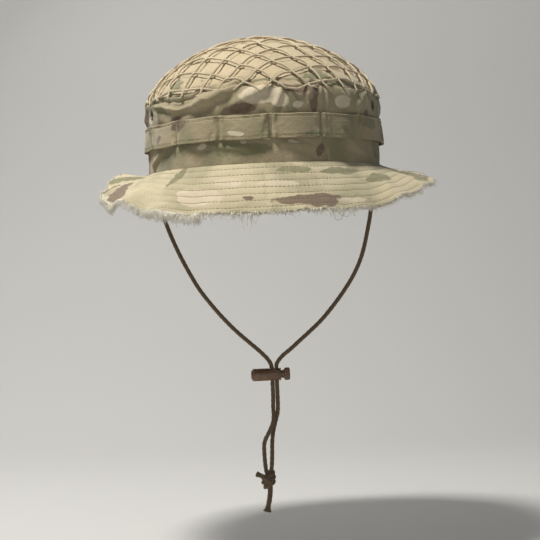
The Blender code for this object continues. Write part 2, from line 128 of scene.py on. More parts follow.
# ---------------------------------------------------------------------------------------------------
# Crown wall: two panels of cotton blend, printed in tan, green and brown, sewn at two upright seams.
# It is turned in at the top over the edge of the net and topstitched, which draws it into puffs.
FRONT_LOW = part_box("crown_side_front")[0]
HALF_WIDTH = -FRONT_LOW.x
HALF_LENGTH = -FRONT_LOW.y
CROWN_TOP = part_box("crown_top_panel")[1].z
WALL_FOOT = FRONT_LOW.z
WALL_STRAIGHT = 0.049                    # the wall is upright to this height, and the dome begins above it
ROUNDNESS = 1.72                         # exponent of the dome's curve; 2 would be an ellipse
CLOTH = 0.001
WALL_STEPS = 780
FINE_FROM = 0.035                        # points lie closer above this height
WALL_HEM = 0.0026                        # how far the wall's foot reaches below its seam with the brim
WALL_TOP = 0.0575
PUFFS_FROM, PUFFS_TALL = 0.034, 0.0245   # the puffed stretch of the wall, under the tip seam
SEAM_FROM, SEAM_FADE = 0.038, 0.018      # where the tip seam's rise begins to show, and over how much
TOPSTITCH_UP = 0.0540
TURNED_IN_FROM = 0.0545
SIDE_SEAMS = (30.0, 210.0)
VENT_HOLE = 0.0031
VENT_FLAT = 0.0062
BAND_LOW, BAND_HIGH = (corner.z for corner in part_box("foliage_band"))
MM_PER_DEGREE = math.pi * (HALF_WIDTH + HALF_LENGTH) / 360 * 1000


def noise(points, size, seed=0):
    """Smooth random values from -1 to 1 at points, the last axis being x, y, z; a bump is about size wide."""
    shape = np.shape(points)[:-1]
    p = np.reshape(points, (-1, 3)) / size + 31.7 * (seed + 1)
    cell = np.floor(p).astype(np.int64)
    part = p - cell
    part = part * part * (3 - 2 * part)
    total = np.zeros(len(p))
    for corner in range(8):
        step = np.array([corner & 1, corner >> 1 & 1, corner >> 2 & 1])
        at = cell + step
        drawn = at[:, 0] * 73856093 ^ at[:, 1] * 19349663 ^ at[:, 2] * 83492791 ^ (seed * 7919 + 13)
        drawn = (drawn ^ drawn >> 13) * 1274126177
        value = ((drawn ^ drawn >> 16) & 0xFFFF) / 32767.5 - 1
        total += value * np.prod(np.where(step, part, 1 - part), axis=1)
    return total.reshape(shape)


def eased(t):
    """0 below 0, 1 above 1, and a smooth rise between them."""
    t = np.clip(t, 0, 1)
    return t * t * (3 - 2 * t)


def bump_at(x, middle, width):
    """A smooth bump 1 high at the middle, gone by about twice the width."""
    return np.exp(-((x - middle) / width) ** 2)


def turn_from(bearing, other):
    """Degrees from another bearing to this one, the short way round."""
    return (bearing - other + 180) % 360 - 180


def crown_form(bearing, z, lift):
    """Points at a lift square to the crown's outer surface; a bearing is in degrees from the front to +X."""
    bearing, z, lift = np.broadcast_arrays(np.asarray(bearing, float), z, lift)
    a = np.radians(bearing)
    t = np.clip((z - WALL_STRAIGHT) / (CROWN_TOP - WALL_STRAIGHT), 0, 0.99999)
    share = (1 - t ** ROUNDNESS) ** (1 / ROUNDNESS)
    narrowing = share ** (1 - ROUNDNESS) * t ** (ROUNDNESS - 1) / (CROWN_TOP - WALL_STRAIGHT)
    x, y = HALF_WIDTH * share * np.sin(a), -HALF_LENGTH * share * np.cos(a)
    square = np.stack([x / HALF_WIDTH ** 2, y / HALF_LENGTH ** 2, share * narrowing], -1)
    square /= np.linalg.norm(square, axis=-1, keepdims=True)
    return np.stack([x, y, z], -1) + square * lift[..., None]


def piece_from(name, points, faces, material, **fields):
    """A mesh piece. Each field is a value, or a vector, for every point, which the material reads by name."""
    mesh = bpy.data.meshes.new(name)
    mesh.from_pydata(np.reshape(points, (-1, 3)).tolist(), [], faces)
    for field, values in fields.items():
        values = np.asarray(values, np.float32)
        vector = values.ndim > 1 and values.shape[-1] == 3
        layer = mesh.attributes.new(field, "FLOAT_VECTOR" if vector else "FLOAT", "POINT")
        layer.data.foreach_set("vector" if vector else "value", values.ravel())
    mesh.shade_smooth()
    mesh.materials.append(material)
    return into_scene(name, mesh)


def woven_faces(rows, columns, wrap_rows=False, wrap_columns=False):
    """Quads of a grid of points, rows by columns, closed round either way."""
    faces = []
    for i in range(rows if wrap_rows else rows - 1):
        a, b = i * columns, (i + 1) % rows * columns
        for j in range(columns if wrap_columns else columns - 1):
            k = (j + 1) % columns
            faces.append((a + j, b + j, b + k, a + k))
    return faces


def ring_cloth(name, outer, inner, material, wrap=True, every=1, **fields):
    """A layer of cloth: outer and inner skins, bearings by heights, joined along their edges.

    The inner skin, which is little seen, may keep only every few heights.
    """
    kept = sorted(set(range(0, outer.shape[1], every)) | {outer.shape[1] - 1}, reverse=True)
    skins = np.concatenate([outer, inner[:, kept]], axis=1)
    rows, columns = skins.shape[:2]
    faces = woven_faces(rows, columns, wrap, True)
    if not wrap:
        faces.append(tuple(range(columns))[::-1])
        faces.append(tuple((rows - 1) * columns + j for j in range(columns)))
    both = {k: np.concatenate([v, v[:, kept]], axis=1) for k, v in fields.items()}
    both = {k: v.reshape((-1,) + v.shape[2:]) for k, v in both.items()}
    return piece_from(name, skins, faces, material, **both)


def node_group(name, takes, gives):
    """An empty shader group with named sockets, given as pairs of name and kind."""
    tree = bpy.data.node_groups.new(name, "ShaderNodeTree")
    kinds = {"colour": "NodeSocketColor", "value": "NodeSocketFloat", "vector": "NodeSocketVector"}
    for label, kind, *start in takes:
        socket = tree.interface.new_socket(label, in_out="INPUT", socket_type=kinds[kind])
        if start:
            socket.default_value = start[0]
    for label, kind in gives:
        tree.interface.new_socket(label, in_out="OUTPUT", socket_type=kinds[kind])
    return tree, tree.nodes.new("NodeGroupInput"), tree.nodes.new("NodeGroupOutput")


def place(tree, kind, settings=None, **inputs):
    """Adds a node. An input is a value, or another node's socket to link; _0 and so on name it by number."""
    node = tree.nodes.new("ShaderNode" + kind)
    for key, value in (settings or {}).items():
        setattr(node, key, value)
    for key, value in inputs.items():
        socket = node.inputs[int(key[1:])] if key[0] == "_" else node.inputs[key.replace("_", " ")]
        if isinstance(value, bpy.types.NodeSocket):
            tree.links.new(value, socket)
        else:
            socket.default_value = value
    return node


def sums(tree, operation, a, b=0.0, c=0.5):
    """The result of a maths node; the third value is for operations that take one."""
    return place(tree, "Math", {"operation": operation}, _0=a, _1=b, _2=c).outputs[0]


def mixed(tree, share, a, b, blend="MIX"):
    """A colour mixed from two others by a share."""
    node = place(tree, "Mix", {"data_type": "RGBA", "blend_type": blend}, _0=share, _6=a, _7=b)
    return node.outputs[2]


def grain(tree, where, scale, detail=2.0, roughness=0.5):
    """Soft random values over a surface."""
    return place(tree, "TexNoise", Vector=where, Scale=scale, Detail=detail, Roughness=roughness).outputs[0]


def ranged(tree, value, low, high, to_low=0.0, to_high=1.0, curve="LINEAR"):
    """A value taken from one range to another, and held inside it."""
    node = place(tree, "MapRange", {"interpolation_type": curve}, Value=value, _1=low, _2=high, _3=to_low,
                 _4=to_high)
    return node.outputs[0]


def make_weave():
    """Height of a plain weave with a little fuzz, from cloth coordinates."""
    tree, given, result = node_group("weave", [("Cloth", "vector"), ("Threads per metre", "value", 1500.0)],
                                     [("Height", "value")])
    parts = place(tree, "SeparateXYZ", _0=given.outputs["Cloth"])
    along = sums(tree, "MULTIPLY", parts.outputs[0], given.outputs["Threads per metre"])
    up = sums(tree, "MULTIPLY", parts.outputs[1], given.outputs["Threads per metre"])
    warp = sums(tree, "SINE", sums(tree, "MULTIPLY", along, math.pi))
    weft = sums(tree, "SINE", sums(tree, "MULTIPLY", up, math.pi))
    crossed = sums(tree, "ABSOLUTE", sums(tree, "MULTIPLY", warp, weft))
    fuzz = grain(tree, given.outputs["Cloth"], 900.0)
    tree.links.new(sums(tree, "ADD", crossed, sums(tree, "MULTIPLY", fuzz, 0.6)), result.inputs[0])
    return tree


def make_print():
    """A four-colour print: soft-edged blotches whose places come with the cloth, then wear and fading."""
    tree, given, result = node_group(
        "field_print",
        [("Cloth", "vector"), ("Green", "value"), ("Brown", "value"), ("Pale", "value"),
         ("Base", "colour"), ("Green dye", "colour"), ("Brown dye", "colour"), ("Pale dye", "colour"),
         ("Olive", "value", 0.6), ("Wear", "value", 0.5)],
        [("Colour", "colour")])
    cloth = given.outputs["Cloth"]
    ragged = grain(tree, cloth, 210.0)
    ground = ranged(tree, grain(tree, cloth, 26.0, 1.0), 0.44, 0.66, curve="SMOOTHSTEP")
    olive = sums(tree, "MULTIPLY", ground, given.outputs["Olive"])
    colour = mixed(tree, olive, given.outputs["Base"], given.outputs["Green dye"])
    for field, dye in (("Green", "Green dye"), ("Brown", "Brown dye"), ("Pale", "Pale dye")):
        edge = sums(tree, "MULTIPLY_ADD", ragged, 0.30, -0.15)
        mask = ranged(tree, sums(tree, "ADD", given.outputs[field], edge), 0.46, 0.54, curve="SMOOTHSTEP")
        colour = mixed(tree, mask, colour, given.outputs[dye])
    cloudy = grain(tree, cloth, 38.0, 4.0, 0.65)
    fade = ranged(tree, cloudy, 0.3, 0.75, 0.90, 1.07)
    speck = ranged(tree, grain(tree, cloth, 1400.0, 1.0), 0.3, 0.7, 0.90, 1.10)
    shade = sums(tree, "MULTIPLY", fade, speck)
    grey = place(tree, "CombineColor", _0=shade, _1=shade, _2=shade)
    colour = mixed(tree, 1.0, colour, grey.outputs[0], "MULTIPLY")
    worn = sums(tree, "MULTIPLY", cloudy, given.outputs["Wear"])
    lifted = mixed(tree, sums(tree, "MULTIPLY", worn, 0.35), colour, given.outputs["Pale dye"])
    tree.links.new(lifted, result.inputs[0])
    return tree


WEAVE = make_weave()
PRINT = make_print()
KHAKI = (0.350, 0.288, 0.172, 1)
SAGE = (0.205, 0.198, 0.100, 1)
EARTH = (0.150, 0.102, 0.064, 1)
SAND = (0.600, 0.515, 0.365, 1)


def cloth_finish(name, base, printed=True, wear=0.5, olive=0.0, threads=1500.0, bump=0.25, rumple=0.55):
    """Matt woven cloth, with the field print or in one dyed colour."""
    finish, tree, shader = new_finish(name)
    cloth = place(tree, "Attribute", {"attribute_name": "cloth"}).outputs["Vector"]
    weave = tree.nodes.new("ShaderNodeGroup")
    weave.node_tree = WEAVE
    weave.inputs["Threads per metre"].default_value = threads
    tree.links.new(cloth, weave.inputs["Cloth"])
    dyed = tree.nodes.new("ShaderNodeGroup")
    dyed.node_tree = PRINT
    tree.links.new(cloth, dyed.inputs["Cloth"])
    dyed.inputs["Base"].default_value = base
    dyed.inputs["Wear"].default_value = wear
    dyed.inputs["Olive"].default_value = olive
    for label, dye in (("Green", SAGE), ("Brown", EARTH), ("Pale", SAND)):
        dyed.inputs[label + " dye"].default_value = dye
        if printed:
            field = place(tree, "Attribute", {"attribute_name": label.lower()})
            tree.links.new(field.outputs["Fac"], dyed.inputs[label])
    tree.links.new(dyed.outputs["Colour"], shader.inputs["Base Color"])
    rumpled = grain(tree, cloth, 120.0, 5.0, 0.6)
    crumple = place(tree, "Bump", Strength=rumple, Distance=0.0022, Height=rumpled)
    relief = place(tree, "Bump", Strength=bump, Distance=0.0002, Height=weave.outputs["Height"],
                   Normal=crumple.outputs[0])
    tree.links.new(relief.outputs[0], shader.inputs["Normal"])
    shader.inputs["Roughness"].default_value = 0.92
    shader.inputs["Sheen Weight"].default_value = 0.2
    shader.inputs["Sheen Roughness"].default_value = 0.6
    shader.inputs["Specular IOR Level"].default_value = 0.2
    return finish


def spots(bearing, up, places):
    """The strongest of some blotches, each a bearing, a height in mm, two half sizes in mm and a lean."""
    best = np.full(np.shape(bearing), -1.0)
    for b, h, wide, tall, lean in places:
        x = turn_from(bearing, b) * MM_PER_DEGREE
        y = up - h
        best = np.maximum(best, 1 - np.hypot((x - lean * y) / wide, y / tall) * 0.5)
    return best


def blotches(points, bearing, up, seed, green=(), brown=(), pale=(), known=80.0):
    """Print fields. Some blotches have set places on the front; the rest of the cloth gets a random print."""
    free = eased((np.abs(turn_from(bearing, 0)) - known) / 15)
    drift = [noise(points, 0.016, seed + 8 + k) * 4.0 + noise(points, 0.006, seed + 11 + k) * 1.8
             for k in (0, 1)]
    fields = {}
    dyes = (("green", green, 0.52), ("brown", brown, 0.30), ("pale", pale, 0.20))
    for k, (label, places, share) in enumerate(dyes):
        loose = noise(points * np.array([1.0, 1.0, 1.6]), 0.030, seed + k) * 0.75
        loose = loose + noise(points, 0.012, seed + 5 + k) * 0.35 + share - 0.02
        set_out = spots(bearing + drift[0] / MM_PER_DEGREE, up + 0.55 * drift[1], places)
        fields[label] = loose * free + set_out * (1 - free)
    return fields


cloth_print = cloth_finish("printed_cloth", KHAKI, olive=0.85)
brim_print = cloth_finish("brim_cloth", (0.52, 0.455, 0.295, 1), olive=0.45, rumple=0.35)
wall_heights = np.concatenate([np.linspace(WALL_FOOT - WALL_HEM, FINE_FROM, 40, endpoint=False),
                               np.linspace(FINE_FROM, WALL_TOP, 52)])
wall_bearing, wall_up = np.meshgrid(
    np.linspace(-180, 180, WALL_STEPS, endpoint=False) + SIDE_SEAMS[0], wall_heights, indexing="ij")
VENTS = [np.array(sum(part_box(node), Vector()) / 2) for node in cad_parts
         if node.startswith("vent_eyelet")]
WALL_FOLDS = (       # ridges of slack cloth: bearing and height of both ends, half width and height, in mm
    (-46, 43, -30, 49, 3.0, 1.6), (-34, 44, -12, 55, 3.4, 2.6), (-62, 52, -44, 46, 2.6, 1.8),
    (-14, 42, 2, 52, 3.0, 1.8), (6, 40, 10, 53, 2.4, 1.5), (24, 42, 22, 55, 2.6, 1.4),
    (44, 42, 36, 54, 2.8, 1.7), (-78, 40, -74, 54, 2.6, 1.8), (58, 52, 50, 41, 2.4, 1.3),
    (-27, 15, -8, 11, 2.6, 1.1), (-70, 6, -58, 15, 3.0, 1.8), (10, 14, 30, 9, 2.8, 1.0),
    (44, 13, 58, 7, 2.6, 1.1), (96, 43, 108, 53, 3.0, 1.9), (128, 42, 140, 54, 3.0, 2.0),
    (160, 53, 172, 43, 3.0, 1.8), (188, 42, 200, 54, 3.0, 2.0), (-132, 43, -122, 54, 3.0, 2.0),
    (-104, 53, -96, 42, 2.8, 1.7), (118, 6, 134, 14, 2.8, 1.3), (-120, 13, -100, 7, 2.8, 1.3))


def folds_at(bearing, up):
    """Sum of the wall's set folds: each a ridge that dies away at both of its ends."""
    total = 0.0
    for b0, up0, b1, up1, wide, tall in WALL_FOLDS:
        x = turn_from(bearing, b0) * MM_PER_DEGREE
        y = up * 1000 - up0
        along = np.array([(b1 - b0) * MM_PER_DEGREE, up1 - up0])
        share = (x * along[0] + y * along[1]) / (along @ along)
        off = (x * along[1] - y * along[0]) / math.sqrt(along @ along)
        ends = eased((share + 0.25) / 0.4) * eased((1.25 - share) / 0.4)
        ridge = bump_at(off, 0, wide) - 0.35 * bump_at(off, wide * 1.7, wide * 0.8)
        total = total + tall / 1000 * ends * ridge
    return total


def seam_rise(bearing):
    """The tip seam's edge isn't level: it rides up over the brow and sags beside it."""
    b = turn_from(np.asarray(bearing, float), 0)
    at = crown_form(b, 0.05, 0.0)
    wave = 0.0016 * noise(at, 0.028, 9) + 0.0012 * noise(at, 0.0095, 10)
    return wave + 0.0032 * bump_at(b, 10, 30) - 0.0038 * bump_at(b, -47, 20) + 0.0012 * bump_at(b, 52, 14)


def risen(bearing, up):
    """Heights on the wall with the tip seam's rise, which fades out down the wall."""
    return up + seam_rise(bearing) * eased((up - SEAM_FROM) / SEAM_FADE)


def topstitch_up(at):
    """Height of the topstitching below the tip seam, which wanders a little."""
    return TOPSTITCH_UP + 0.0006 * noise(at * [1, 1, 0], 0.012, 8)


def wall_relief(bearing, up):
    """How far the wall's cloth stands off its pattern: puffs under the tip seam, slack folds lower down."""
    at = crown_form(bearing, up, 0.0)
    puff = np.sin(np.pi * np.clip((up - PUFFS_FROM) / PUFFS_TALL, 0, 1)) ** 0.8
    gathers = noise(at * [1, 1, 0.25], 0.0085, 3) + 0.6 * noise(at * [1, 1, 0.35], 0.0042, 4)
    crease = (1 - np.abs(noise(at * [1, 1, 0.6], 0.015, 27))) ** 3 - 0.35
    swell = 0.0014 * puff * (1 + 0.5 * noise(at, 0.022, 5)) + puff * (0.0008 * gathers + 0.0020 * crease)
    swell = swell + folds_at(bearing, up)
    slack = 0.0010 * noise(at * [1, 1, 0.5], 0.020, 6) + 0.00035 * noise(at, 0.006, 7)
    lower = eased((0.020 - up) / 0.006)
    swell = swell + slack * (0.55 + 0.6 * lower)
    for seam in SIDE_SEAMS:
        across = turn_from(bearing, seam) * MM_PER_DEGREE / 1000
        swell = swell - 0.0007 * bump_at(across, 0, 0.0010) + 0.0006 * bump_at(np.abs(across), 0.003, 0.0014)
    swell = np.maximum(swell - 0.0011 * bump_at(up, topstitch_up(at), 0.0009), -0.0004)
    for vent in VENTS:
        away = np.linalg.norm(at - vent, axis=-1)
        swell = swell * (1 - bump_at(away, 0, VENT_FLAT))
    return swell


wall_lift = wall_relief(wall_bearing, wall_up)
turn_in = eased((wall_up - TURNED_IN_FROM) / 0.003)
wall_outer = crown_form(wall_bearing, risen(wall_bearing, wall_up), wall_lift + 0.0011 * turn_in)
wall_inner = crown_form(wall_bearing, risen(wall_bearing, wall_up), 0.0016 * turn_in - CLOTH)
wall_cloth = np.stack([wall_bearing * MM_PER_DEGREE / 1000, wall_up, 0 * wall_up], -1)
wall_fields = blotches(
    crown_form(wall_bearing, wall_up, 0.0), wall_bearing, wall_up * 1000, 20,
    green=[(-13, 10, 27, 4.6, 0.4), (-57, 45, 9, 5, 0.5), (70, 14, 10, 9, 0.0), (62, 50, 9, 3.5, 0.2)],
    brown=[(-76, 43, 9, 8, 0.3), (-11, 40, 15, 4.2, 0.8), (25, 46, 5.0, 12, 0.0), (17, 51.5, 15, 3.0, 0.2),
           (-80, 8, 7, 15, 0.2), (27, 9, 3.2, 7, 0.1), (-46, 36, 8, 3, 0.6), (58, 37, 5, 2.6, 0.4)],
    pale=[(-69, 41, 4.6, 3.4, 0.1), (0, 49, 17, 5.4, 0.5), (8, 45, 7, 5.2, -0.4), (17, 40.5, 4.6, 2.6, 0.2),
          (41, 43, 6, 4.4, 0.0), (-9, 15.6, 3, 1.3, 0), (2, 17, 2.6, 1.2, 0), (14, 16, 5, 1.4, 0.3),
          (-30, 13, 4, 2, 0)])
crown_wall = ring_cloth("crown_wall_cloth", wall_outer, wall_inner, cloth_print, every=4, cloth=wall_cloth,
                        **wall_fields)
punched = bmesh.new()
punched.from_mesh(crown_wall.data)
inside_vent = [v for v in punched.verts
               if min(np.linalg.norm(np.array(v.co) - vent) for vent in VENTS) < VENT_HOLE]
bmesh.ops.delete(punched, geom=inside_vent, context="VERTS")
punched.to_mesh(crown_wall.data)
punched.free()
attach(crown_wall, "hat")
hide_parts("crown_side_front", "crown_side_rear")

# ---------------------------------------------------------------------------------------------------
# Top panel: one oval of the same cloth, faded to tan, sewn in at the tip seam. It puffs a little through
# each opening of the net that lies over it.
DOME_WIDE, DOME_LONG = 0.106, 0.119      # over the dome from its top to the seam, sideways and lengthways
NET_WIDE, NET_LONG = 0.0255, 0.0245      # one opening of the net, knot to knot
NET_CORD, KNOT_CORD = 0.0016, 0.00144
NET_LIFT = 0.0018
CORDS_APART = 0.0157                     # about how far two of its cords lie from each other
SEAM_TURN = 7.5                          # how far up the dome the seam lies, in degrees
TOP_UNDER = -0.0022                      # lift of the panel's inner skin
dome_cloth = cloth_finish("top_cloth", (0.50, 0.405, 0.255, 1), wear=0.35, olive=0.12)


def flat_reach(flat):
    """How far a point of the flat oval is from its middle: 1 at the tip seam."""
    return np.hypot(flat[..., 0] / DOME_WIDE, flat[..., 1] / DOME_LONG)


def laid_flat(flat):
    """Points of the flat oval with a third coordinate of 0."""
    return np.concatenate([flat, 0 * flat[..., :1]], -1)


def dome_form(flat, lift):
    """Places points of the flat oval, x and y in metres, over the dome at a lift square to it."""
    reach = flat_reach(flat)
    bearing = np.arctan2(flat[..., 0] / DOME_WIDE, -flat[..., 1] / DOME_LONG)
    turn = np.radians(90 - (90 - SEAM_TURN) * np.clip(reach, 0, 1.06))
    share = np.cos(turn) ** (2 / ROUNDNESS)
    rise = np.sin(np.clip(turn, 0, None)) ** (2 / ROUNDNESS)
    height = CROWN_TOP - WALL_STRAIGHT
    x, y = HALF_WIDTH * share * np.sin(bearing), -HALF_LENGTH * share * np.cos(bearing)
    z = WALL_STRAIGHT + height * rise
    flare = np.cos(turn) ** (2 / ROUNDNESS - 1) * np.sin(turn)
    steep = np.clip(np.sin(turn), 1e-4, None) ** (2 / ROUNDNESS - 1) * np.cos(turn)
    level = np.stack([np.sin(bearing) * HALF_LENGTH, -np.cos(bearing) * HALF_WIDTH], -1)
    level = level / np.linalg.norm(level, axis=-1, keepdims=True)
    across = HALF_WIDTH * flare / height
    size = np.hypot(steep, across)
    square = np.stack([level[..., 0] * steep / size, level[..., 1] * steep / size, across / size], -1)
    return np.stack([x, y, z], -1) + square * np.asarray(lift)[..., None]


def net_slip(flat):
    """How far the net's cords have slipped from an even lattice, as a vector in the flat oval."""
    at = laid_flat(flat)
    return np.stack([0.0042 * noise(at, 0.036, 11) + 0.0020 * noise(at, 0.014, 12),
                     0.0038 * noise(at, 0.033, 13) + 0.0018 * noise(at, 0.013, 14)], -1)


def top_relief(flat):
    """Slack hollows of the top cloth, and the puff inside each opening of the net."""
    at = laid_flat(flat)
    even = flat - net_slip(flat)
    one = even[..., 0] / NET_WIDE + even[..., 1] / NET_LONG
    two = even[..., 0] / NET_WIDE - even[..., 1] / NET_LONG
    gap = np.minimum(np.abs(one - np.round(one)), np.abs(two - np.round(two))) * CORDS_APART
    puff = 1 - np.exp(-(gap / 0.0022) ** 2)
    slack = 0.0009 * noise(at, 0.034, 15) + 0.00045 * noise(at, 0.010, 16)
    slack = slack * (1 - eased((flat_reach(flat) - 0.85) / 0.1))
    return -0.0006 + 0.0013 * puff * (1 + 0.5 * noise(at, 0.015, 17)) + slack


rings, spokes = 150, 440
reach = np.linspace(0.0, 1.04, rings)[1:, None]
around = np.radians(np.linspace(0, 360, spokes, endpoint=False))[None, :]
flat = np.stack([DOME_WIDE * reach * np.sin(around), -DOME_LONG * reach * np.cos(around)], -1)
lift = top_relief(flat) - 0.0030 * eased((reach - 0.985) / 0.05) * np.ones_like(flat[..., 0])
kept = list(range(2, rings - 2, 9)) + [rings - 2]
skin = dome_form(flat, lift).reshape(-1, 3)
under = dome_form(flat[kept], np.minimum(TOP_UNDER, lift[kept] - 0.8 * CLOTH)).reshape(-1, 3)
crest = dome_form(np.zeros((1, 2)), np.array([-0.0002]))
crest_under = dome_form(np.zeros((1, 2)), np.array([TOP_UNDER]))
count, count_under = (rings - 1) * spokes, len(kept) * spokes
faces = [f[::-1] for f in woven_faces(rings - 1, spokes, False, True)]
faces += [tuple(i + count for i in f) for f in woven_faces(len(kept), spokes, False, True)]
outermost, innermost = count - spokes, count + count_under - spokes
top, bottom = count + count_under, count + count_under + 1
for j in range(spokes):
    k = (j + 1) % spokes
    faces += [(outermost + j, outermost + k, innermost + k, innermost + j), (j, top, k),
              (count + k, bottom, count + j)]
top_points = np.concatenate([skin, under, crest, crest_under])
flat_all = np.concatenate([flat.reshape(-1, 2), flat[kept].reshape(-1, 2), np.zeros((2, 2))])
top_cloth_at = laid_flat(flat_all)
rim = eased((flat_reach(flat_all) - 0.5) / 0.5)
top_fields = {
    "green": noise(top_cloth_at, 0.030, 18) * 0.55 + 0.34 * rim - 0.10,
    "brown": noise(top_cloth_at, 0.024, 19) * 0.50 + 0.26 * rim - 0.12,
    "pale": noise(top_cloth_at, 0.030, 21) * 0.8 + 0.10}
top_panel = piece_from("top_panel_cloth", top_points, faces, dome_cloth, cloth=top_cloth_at, **top_fields)
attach(top_panel, "hat")
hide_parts("crown_top_panel")

# ---------------------------------------------------------------------------------------------------
# Net: cotton cord knotted in diamonds, laid over the top panel before both are sewn into the tip seam.
# Each cord bows between its knots, and the whole net has slipped a little from an even lattice.


def tubes(name, paths, radii, up, material, sides=6):
    """Round threads or cords as one mesh: paths of points, a radius at each, and a direction across each."""
    paths = np.asarray(paths, float)
    many, steps = paths.shape[:2]
    radii = np.broadcast_to(radii, (many, steps))
    along = np.gradient(paths, axis=1)
    along /= np.linalg.norm(along, axis=-1, keepdims=True) + 1e-12
    up = np.broadcast_to(np.asarray(up, float), paths.shape)
    across = np.cross(along, up)
    across /= np.linalg.norm(across, axis=-1, keepdims=True) + 1e-12
    above = np.cross(across, along)
    turn = 2 * np.pi * np.arange(sides) / sides
    ring = across[:, :, None] * np.cos(turn)[:, None] + above[:, :, None] * np.sin(turn)[:, None]
    points = paths[:, :, None] + ring * radii[:, :, None, None]
    faces = []
    for n in range(many):
        base = n * steps * sides
        for i in range(steps - 1):
            a, b = base + i * sides, base + (i + 1) * sides
            faces.extend((a + j, a + (j + 1) % sides, b + (j + 1) % sides, b + j) for j in range(sides))
        faces.append(tuple(base + j for j in range(sides))[::-1])
        last = base + (steps - 1) * sides
        faces.append(tuple(last + j for j in range(sides)))
    run = np.linalg.norm(np.diff(paths, axis=1), axis=-1)
    run = np.concatenate([np.zeros((many, 1)), np.cumsum(run, axis=1)], 1)
    wound = np.broadcast_to(turn / (2 * np.pi), (many, steps, sides))
    twist = np.stack([np.broadcast_to(run[:, :, None], wound.shape), wound,
                      np.broadcast_to(np.arange(many)[:, None, None] * 0.37, wound.shape)], -1)
    return piece_from(name, points, faces, material, thread=twist.reshape(-1, 3))


def make_twist():
    """Plies of a twisted or braided thread from its own coordinates: height, and a tint for each thread."""
    tree, given, result = node_group(
        "plies", [("Thread", "vector"), ("Turns per metre", "value", 500.0), ("Plies", "value", 3.0),
                  ("Braid", "value", 0.0)],
        [("Height", "value"), ("Tint", "value")])
    parts = place(tree, "SeparateXYZ", _0=given.outputs["Thread"])
    along = sums(tree, "MULTIPLY", parts.outputs[0], given.outputs["Turns per metre"])
    wound = sums(tree, "MULTIPLY", parts.outputs[1], given.outputs["Plies"])
    one = sums(tree, "SINE", sums(tree, "MULTIPLY", sums(tree, "ADD", along, wound), 2 * math.pi))
    two = sums(tree, "SINE", sums(tree, "MULTIPLY", sums(tree, "SUBTRACT", along, wound), 2 * math.pi))
    braided = sums(tree, "MULTIPLY", two, given.outputs["Braid"])
    tree.links.new(sums(tree, "MAXIMUM", one, braided), result.inputs[0])
    fuzz = grain(tree, given.outputs["Thread"], 700.0)
    each = place(tree, "TexWhiteNoise", {"noise_dimensions": "1D"}, W=parts.outputs[2]).outputs[0]
    tint = sums(tree, "ADD", sums(tree, "MULTIPLY", fuzz, 0.6), sums(tree, "MULTIPLY", each, 0.4))
    tree.links.new(tint, result.inputs[1])
    return tree


PLIES = make_twist()


def thread_finish(name, dark, light, turns=500.0, plies=3.0, braid=0.0, bump=0.6, depth=0.0003):
    """Spun thread or cord: two shades of one dye, with its plies as relief."""
    finish, tree, shader = new_finish(name)
    spun = tree.nodes.new("ShaderNodeGroup")
    spun.node_tree = PLIES
    for label, value in (("Turns per metre", turns), ("Plies", plies), ("Braid", braid)):
        spun.inputs[label].default_value = value
    thread = place(tree, "Attribute", {"attribute_name": "thread"}).outputs["Vector"]
    tree.links.new(thread, spun.inputs["Thread"])
    tree.links.new(mixed(tree, spun.outputs["Tint"], dark, light), shader.inputs["Base Color"])
    relief = place(tree, "Bump", Strength=bump, Distance=depth, Height=spun.outputs["Height"])
    tree.links.new(relief.outputs[0], shader.inputs["Normal"])
    shader.inputs["Roughness"].default_value = 0.88
    shader.inputs["Sheen Weight"].default_value = 0.2
    return finish


net_finish = thread_finish("net_cord", (0.38, 0.305, 0.19, 1), (0.68, 0.58, 0.40, 1), 420.0)
runs, crossings = [], []
columns = int(1.1 * DOME_WIDE / NET_WIDE * 2) + 1
rows = int(1.1 * DOME_LONG / NET_LONG * 2) + 1
share = np.linspace(0, 1, 11)[:, None]
for i in range(-columns, columns + 1):
    for j in range(-rows, rows + 1):
        if (i + j) % 2:
            continue
        tie = np.array([i * NET_WIDE / 2, j * NET_LONG / 2])
        if flat_reach(tie) < 0.99:
            crossings.append(tie)
        for lean in (1, -1):
            end = tie + [NET_WIDE / 2, lean * NET_LONG / 2]
            line = tie + (end - tie) * share
            far = flat_reach(line)
            if far.min() < 1.0:
                line = line / np.maximum(far / 1.03, 1)[:, None]
                runs.append(line)
runs = np.array(runs)
runs = runs + net_slip(runs)
span = runs[:, -1] - runs[:, 0]
side = np.stack([-span[:, 1], span[:, 0]], -1)
side /= np.linalg.norm(side, axis=-1, keepdims=True) + 1e-9
slack = noise(laid_flat(runs[:, 5]), 0.004, 24) * 0.0032
bow = np.sin(np.pi * share[:, 0])
runs = runs + side[:, None] * (slack[:, None] * bow)[..., None]
net_lift = NET_LIFT + 0.0007 * bow + 0.0002 * noise(laid_flat(runs), 0.004, 25)
net_lines = dome_form(runs, net_lift)
net_up = dome_form(runs, net_lift + 0.01) - net_lines
net = tubes("net_cords", net_lines, NET_CORD / 2, net_up, net_finish, sides=8)
crossings = np.array(crossings)
knot_flat = crossings + net_slip(crossings)
loops = []
for k, tie in enumerate(knot_flat):
    lean = 0.5 + 0.4 * math.sin(k * 2.3)
    for turn in (0.0, 1.2):
        a = np.linspace(0, 2 * np.pi * 0.93, 11) + turn + k
        loop = np.stack([tie[0] + 0.00105 * np.cos(a) * (1 + lean * 0.3), tie[1] + 0.0008 * np.sin(a)], -1)
        loops.append(dome_form(loop, NET_LIFT + 0.0006 * np.sin(2 * a + turn)))
knots = tubes("net_knots", loops, KNOT_CORD / 2, (0, 0, 1), net_finish, sides=6)
for cordage in (net, knots):
    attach(cordage, "hat")
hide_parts("net_cover")

